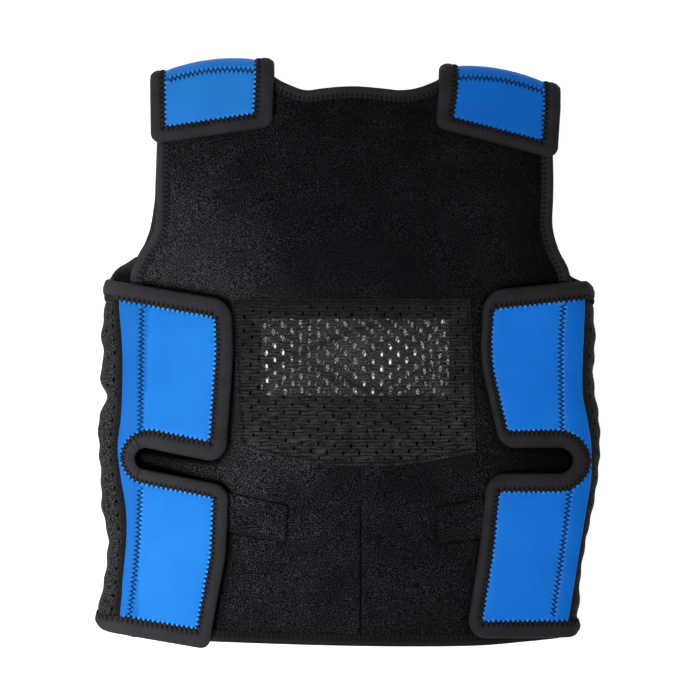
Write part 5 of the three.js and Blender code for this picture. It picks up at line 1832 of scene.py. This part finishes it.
front_outline = window_outline(FRONT_WINDOW, 0)
back_outline = window_outline(BACK_WINDOW, WINDOW_LAP)
window_mesh("front_window_mesh", front_middle, front_outline, FRONT_HOLES, front_knit, wrinkled)
window_mesh("back_window_mesh", back_middle, back_outline, BACK_HOLES, back_knit)
patch_line = window_outline(FRONT_WINDOW, -WINDOW_STITCH_INSET)
patch_line = np.concatenate([patch_line, patch_line[:1]])
mesh_top_lift = PANEL_THICKNESS / 2 + CLEARANCE + MESH_THICKNESS + THREAD_ABOVE_MESH
rows = [zigzag_on(FRONT, patch_line, WINDOW_ZIGZAG_PITCH, WINDOW_ZIGZAG_WIDTH, mesh_top_lift)]
sew("patch_stitching", rows)

# %% [markdown]
# Side gussets
#
# At each side a strip of mesh lets the vest stretch. It is slack when nobody wears it, so it
# ruffles. Its flat coordinates run round the side fold, which keeps the holes the same size all
# the way round.

# %% Side mesh
SEAM_LAP = 0.035
GUSSET_SPACING = 2.6


def side_mesh(side):
    """The gusset. Both of its long edges go a little way under the cloth that they are sewn to."""
    share = np.linspace(-SEAM_LAP, 1 + SEAM_LAP, 30)
    bare = BARE_INSET + MESH_THICKNESS
    low, high = LENGTH * MESH_HEM[side](share) + bare, LENGTH * MESH_ARMHOLE[side](share) - bare
    u = side * GUSSET_SPAN[side] * share
    outline = np.concatenate([np.stack([u, low], axis=1), np.stack([u, high], axis=1)[::-1]])
    holes = []
    columns = np.arange(HOLE_MARGIN, GUSSET_SPAN[side] - HOLE_MARGIN, HOLE_PITCH / 2)
    for k, across in enumerate(columns):
        here = across / GUSSET_SPAN[side]
        start = LENGTH * MESH_HEM[side](here) + TAB_TAPE + HOLE_MARGIN + (HOLE_ROW if k % 2 else 0)
        end = LENGTH * MESH_ARMHOLE[side](here) - TAB_TAPE - HOLE_MARGIN
        holes += [hole_at(side * across, y) for y in np.arange(start, end, 2 * HOLE_ROW)]
    name = "side_mesh_" + SIDE_NAMES[side]
    surface = GUSSET[side]
    cloth(name, surface, outline, MESH_THICKNESS, GUSSET_SPACING, gusset_knit, "sports_mesh", holes=holes)


for side in (LEFT, RIGHT):
    side_mesh(side)

# %% [markdown]
# Side tabs
#
# Each side has one blue piece with an upper and a lower tab and a slot between them. Its corners
# are soft, and so is the slot's end. A zigzag seam runs down it where the tabs turn over the side,
# pressed into the foam, and the foam also dips where the tape grips it.

# %% Blue side tabs
TAB_SEAMS = {
    LEFT: [
        [(-148.0, 238.0), (-149.2, 152.0)],
        [(-149.2, 112.0), (-151.5, 68.0), (-157.3, 20.0)],
    ],
    RIGHT: [
        [(144.9, 240.0), (143.0, 208.0), (143.7, 153.0)],
        [(149.5, 112.5), (144.0, 68.0), (137.8, 23.0)],
    ],
}
TAB_SPACING = 2.0
TAB_RIM = 1.3
SEAM_PRESS = 0.8
SEAM_PRESS_WIDTH = 1.7
GRIP_PRESS = 0.55
GRIP_PRESS_WIDTH = 2.0
SEAM_ZIGZAG_PITCH = 3.2
SEAM_ZIGZAG_WIDTH = 3.2
SEAM_PUCKER = 0.35
# Painted highlights and shade beside seams and tape, and painted shade on the strip beyond a seam.
SEAM_PAINTED_SHADING = 0.55
OUTER_PAINTED_SHADE = {LEFT: 0.42, RIGHT: 0.1}
EDGE_PUCKER = 0.5
EDGE_PUCKER_WIDTH = 1.25
EDGE_PAINTED_SHADING = 0.9
OUTER_FADE = (0.5, 4.0)
SEAM_ROWS = (-3.0, -2.0, -1.2, -0.4, 0.4, 1.2, 2.0, 3.0)
EDGE_ROWS = (0.3, 0.9, 1.6, 2.6)
SEAM_THREAD_LIFT = TAB_THICKNESS / 2 - SEAM_PRESS * 0.55 + 0.1


def pressed_by(seams, tape_edge, outward=1, outer_painted_shade=0.0, shade=0.0):
    """Relief of foam that is sewn: a groove at each seam, a dip at the tape, and puckers at both.
    Its tint paints highlights on pucker crests, and shade in hollows, beyond a seam and on a tab."""

    def relief(flat):
        depth = np.zeros(len(flat))
        puckers = np.zeros(len(flat))
        tint = np.zeros(len(flat))
        outside = np.zeros(len(flat))
        for seam in seams:
            distance, across, place = beside(seam, flat)
            depth = np.maximum(depth, SEAM_PRESS * np.exp(-((distance / SEAM_PRESS_WIDTH) ** 2)))
            swing = np.cos(2 * math.pi * place / SEAM_ZIGZAG_PITCH) * across / (SEAM_ZIGZAG_WIDTH / 2)
            fading = np.exp(-((distance / (0.68 * SEAM_ZIGZAG_WIDTH)) ** 6))
            puckers -= SEAM_PUCKER * swing * fading
            tint -= SEAM_PAINTED_SHADING * np.maximum(swing * 1.5, swing) * fading
            outside = np.maximum(outside, eased(across * outward, *OUTER_FADE))
        distance, across, place = beside(tape_edge, flat)
        grip = GRIP_PRESS * np.exp(-((distance / GRIP_PRESS_WIDTH) ** 2))
        crest = np.cos(2 * math.pi * (place / ZIGZAG_PITCH - 0.75))
        lobes = -crest * np.exp(-((distance / EDGE_PUCKER_WIDTH) ** 2))
        puckers += EDGE_PUCKER * lobes * (across > 0)
        tint += EDGE_PAINTED_SHADING * lobes - outer_painted_shade * outside - shade
        return puckers - np.maximum(depth, grip), tint

    return relief


def sewing_rows(seams, tape_edge):
    """Close rows of points beside seams and tape, fine enough for the puckers."""
    rows = [spaced(moved_in(spaced(seam, 1.0), off), 0.8) for seam in seams for off in SEAM_ROWS]
    return rows + [spaced(moved_in(tape_edge, off), 0.85) for off in EDGE_ROWS]


def side_tab(side, tape_edge):
    ups = np.linspace(MESH_ARMHOLE[side](0), MESH_HEM[side](0), 60)
    seam_line = np.stack([side * SEAM[side](ups), LENGTH * ups], axis=1)
    outline = np.concatenate([tab_line(side, BARE_INSET), seam_line[1:-1]])
    seams = [smooth(seam, 60) for seam in TAB_SEAMS[side]]
    cloth(
        "side_tab_" + SIDE_NAMES[side],
        TAB,
        outline,
        TAB_THICKNESS,
        TAB_SPACING,
        blue_neoprene,
        "blue_neoprene",
        rim=TAB_RIM,
        relief=pressed_by(seams, tape_edge, side, OUTER_PAINTED_SHADE[side]),
        creases=sewing_rows(seams, tape_edge),
    )


tab_edges = {
    side: Edge(TAB, tab_line(side, 0), tab_line(side, TAB_TAPE), TAPE_SPACING, TAB_THICKNESS)
    for side in (LEFT, RIGHT)
}
for side, edge in tab_edges.items():
    side_tab(side, edge.inner)

# %% [markdown]
# Tape round the side tabs
#
# One long tape starts at the back panel, goes round the lower end of the mesh, along both tabs and
# into the slot, and ends round the upper end of the mesh. It is three edges in a row here: two on
# the gusset and one on the tab.


# %% Side tape and stitches
GUSSET_GRIP = 2.0
GUSSET_TAPE_LEAST = 5.5
ARMHOLE_TAPE_TURN = 0.6


def gusset_edge(side, ends, inward, from_seam, face):
    """The tape round an end of the gusset. Its stitched edge keeps level as it goes round."""
    share = np.linspace(0.004, 1 + SEAM_LAP, 60)
    if not from_seam:
        share = share[::-1]
    u, v = side * GUSSET_SPAN[side] * share, LENGTH * ends(share)
    outer = np.stack([u, v], axis=1)
    turn = 0.0 if inward > 0 else ARMHOLE_TAPE_TURN
    level = LENGTH * ends(0) + inward * face + (v - LENGTH * ends(0)) * turn
    inner_v = v + inward * np.maximum(inward * (level - v), GUSSET_TAPE_LEAST)
    return Edge(GUSSET[side], outer, np.stack([u, inner_v], axis=1), TAPE_SPACING, GUSSET_GRIP)


for side in (LEFT, RIGHT):
    faces = [TAB_TAPE * ROOT_FACE[side], TAB_TAPE * TAB_CORNERS[side][-1]["face"]]
    edges = [
        gusset_edge(side, MESH_HEM[side], 1, False, faces[0]),
        tab_edges[side],
        gusset_edge(side, MESH_ARMHOLE[side], -1, True, faces[1]),
    ]
    tape("side_tab_binding_" + SIDE_NAMES[side], edges, TAB_TAPE)
    rows = [zigzag_along(edge, TAB_TAPE) for edge in edges]
    rows += [
        zigzag_on(TAB, smooth(seam, 60), SEAM_ZIGZAG_PITCH, SEAM_ZIGZAG_WIDTH, SEAM_THREAD_LIFT)
        for seam in TAB_SEAMS[side]
    ]
    sew("side_stitching_" + SIDE_NAMES[side], rows)

# %% [markdown]
# Shoulder tabs
#
# A blue tab comes from the back panel over each shoulder and closes on the chest. Its flat cut is
# a strip: up to the crest the flat coordinates are x and y, and beyond it they follow the fold
# round to the back. Tape runs along both sides and the tip.

# %% Shoulder tabs, tape and stitches
SHOULDER_CORNER_RADIUS = 7
# Painted shade on the right shoulder tab, and a little painted light on the left one.
SHOULDER_SHADE = {LEFT: -0.06, RIGHT: 0.2}
SHOULDER_FACES = {LEFT: (0.8, 0.82, 1.06, 1), RIGHT: (0.92, 0.74, 0.92, 1)}
SHOULDER_SEAM_PAST_CREST = {LEFT: (4.0, 5.0), RIGHT: (3.5, 6.0)}


def shoulder_corners(side):
    tab = SHOULDERS[side]

    def corner(edge, y, round_radius):
        which = 0 if edge == "inner" else 1
        fold_y, tip_y = LENGTH * tab["fold"][which], LENGTH * tab["tip"][which]
        t = (y - fold_y) / (tip_y - fold_y)
        out = HALF_WIDTH * (tab[edge][0] * (1 - t) + tab[edge][1] * t)
        return {"at": (-out, y), "round": round_radius}

    def crest_y(edge):
        return float(shoulder_crest(side, np.array(HALF_WIDTH * tab[edge][0])))

    corners = [
        corner("outer", crest_y("outer"), 0),
        corner("outer", LENGTH * tab["tip"][1], SHOULDER_CORNER_RADIUS),
        corner("inner", LENGTH * tab["tip"][0], SHOULDER_CORNER_RADIUS),
        corner("inner", crest_y("inner"), 0),
    ]
    return [{**place, "face": face} for place, face in zip(corners, SHOULDER_FACES[side])]


def shoulder_line(side, distance):
    """The tab's edge from the back, over the shoulder, round the tip and back again."""
    path = rounded(shoulder_corners(side), distance)
    path[:, 0] *= -side
    past = np.linspace(SHOULDER_ARC, 0.6, 46)

    def over_fold(x):
        crest = float(shoulder_crest(side, np.array(x)))
        return np.stack([np.full(len(past), x), crest + past], axis=1)

    first, last = over_fold(path[0, 0]), over_fold(path[-1, 0])[::-1]
    path[0, 1] = shoulder_crest(side, path[:1, 0])[0]
    path[-1, 1] = shoulder_crest(side, path[-1:, 0])[0]
    return np.concatenate([first, path, last])


for side in (LEFT, RIGHT):
    name = SIDE_NAMES[side]
    surface = shoulder_surface(side)
    bare = shoulder_line(side, BARE_INSET)
    ends = np.linspace(bare[-1, 0], bare[0, 0], 30)[1:-1]
    far_end = np.stack([ends, shoulder_crest(side, ends) + SHOULDER_ARC], axis=1)
    between = np.linspace(0, 1, 30)[:, None]
    outer_x, inner_x = bare[0, 0], bare[-1, 0]
    seam_x = outer_x + (inner_x - outer_x) * between[:, 0]
    past_inner, past_outer = SHOULDER_SEAM_PAST_CREST[side]
    seam_y = shoulder_crest(side, seam_x) + past_outer + (past_inner - past_outer) * between[:, 0]
    seam = np.stack([seam_x, seam_y], axis=1)[4:-4]
    edge = Edge(surface, shoulder_line(side, 0), shoulder_line(side, TAB_TAPE), TAPE_SPACING, TAB_THICKNESS)
    cloth(
        "shoulder_tab_" + name,
        surface,
        np.concatenate([bare, far_end]),
        TAB_THICKNESS,
        TAB_SPACING,
        blue_neoprene,
        "blue_neoprene",
        rim=TAB_RIM,
        relief=pressed_by([seam], edge.inner, shade=SHOULDER_SHADE[side]),
        creases=sewing_rows([seam], edge.inner),
    )
    tape("shoulder_binding_" + name, [edge], TAB_TAPE)
    rows = [
        zigzag_along(edge, TAB_TAPE),
        zigzag_on(surface, seam, SEAM_ZIGZAG_PITCH, SEAM_ZIGZAG_WIDTH, SEAM_THREAD_LIFT),
    ]
    sew("shoulder_stitching_" + name, rows)

# %% [markdown]
# Hook patches
#
# Under each tab a patch of hook tape holds the loop face. Nothing of it shows from above, but it
# keeps the tab up, and it may show from the side. Each is cut to its tab's corners, moved in past
# the tape, and kept clear of the tapes on the panel below.

# %% Hook patches
TAPE_CLEAR = 1.5
HOOK_INSET = TAB_TAPE + TAPE_CLEAR
HOOK_SPACING = 4.0
HOOK_RIM = 0.4
HOOK_CORNERS = {"lower": (0, 5), "upper": (5, 10)}
HOOK = lying(smooth_middle, (PANEL_THICKNESS + CLOSURE) / 2)


def hook_patch(name, outline):
    cloth(name, HOOK, outline, HOOK_THICKNESS, HOOK_SPACING, hook_tape, "hook_tape", rim=HOOK_RIM)


for side in (LEFT, RIGHT):
    for which, (first, last) in HOOK_CORNERS.items():
        corners = tab_corners(side)[first:last]
        outline = rounded(corners, HOOK_INSET, HOOK_SPACING) * [-side, 1]
        limit = CREST[side](outline[:, 1] / LENGTH).min() + SIDE_EDGE_OUT - PANEL_TAPE - TAPE_CLEAR
        outline[:, 0] = side * np.minimum(np.abs(outline[:, 0]), limit)
        hook_patch(which + "_hook_patch_" + SIDE_NAMES[side], outline)
    outline = rounded(shoulder_corners(side), HOOK_INSET, HOOK_SPACING) * [-side, 1]
    inner_limit = HALF_WIDTH * NECK_END + PANEL_TAPE + TAPE_CLEAR
    outer_limit = HALF_WIDTH * FRONT_CUT[side][-1][0] - PANEL_TAPE - TAPE_CLEAR
    outline[:, 0] = side * np.clip(np.abs(outline[:, 0]), inner_limit, outer_limit)
    hook_patch("shoulder_hook_patch_" + SIDE_NAMES[side], outline)

# %% [markdown]
# Pocket patches
#
# The two small patches low on the front are of the same loop cloth as the panel. A faint line of
# painted shade runs round their edge, and a small zigzag holds their low edge.

# %% Patches low on the front
PATCH = lying(front_middle, PANEL_THICKNESS / 2 + CLEARANCE + PATCH_THICKNESS / 2)
PATCH_SPACING = 1.6
PATCH_RIM = 1.0
PATCH_RIM_DARK_WIDTH = 0.9
PATCH_STITCH_INSET = 2.2
PATCH_ZIGZAG_PITCH = 2.6
PATCH_ZIGZAG_WIDTH = 2.0


def painted_shade_rim(loop):
    """A faint line of painted shade round the edge of a patch."""

    def relief(flat):
        distance = distance_to(np.concatenate([loop, loop[:1]]), flat)
        dark = np.exp(-((distance / PATCH_RIM_DARK_WIDTH) ** 2))
        return np.zeros(len(flat)), -PATCH_LINE_PAINTED_SHADE * dark

    return relief


patch_rows = []
for side, outline in patch_outlines.items():
    cloth(
        "pocket_patch_" + SIDE_NAMES[side],
        PATCH,
        outline,
        PATCH_THICKNESS,
        PATCH_SPACING,
        loop_neoprene,
        "loop_neoprene",
        rim=PATCH_RIM,
        relief=painted_shade_rim(outline),
    )
    low_edge = moved_in(outline, PATCH_STITCH_INSET, closed=True)[:2]
    row = zigzag_on(PATCH, low_edge, PATCH_ZIGZAG_PITCH, PATCH_ZIGZAG_WIDTH, PATCH_THICKNESS / 2)
    patch_rows.append(row)
sew("patch_zigzag", patch_rows)

# %% [markdown]
# What the cloth was cut from
#
# Each sheet of cloth is declared with the size that it was cut to, so that its area can be checked
# against its mesh.

# %% Sheets, declared when they were cut
# The patch_zigzag piece holds both pocket patches, and goes with the first of them.
for place in ("upper", "lower", "shoulder"):
    for side_name in SIDE_NAMES.values():
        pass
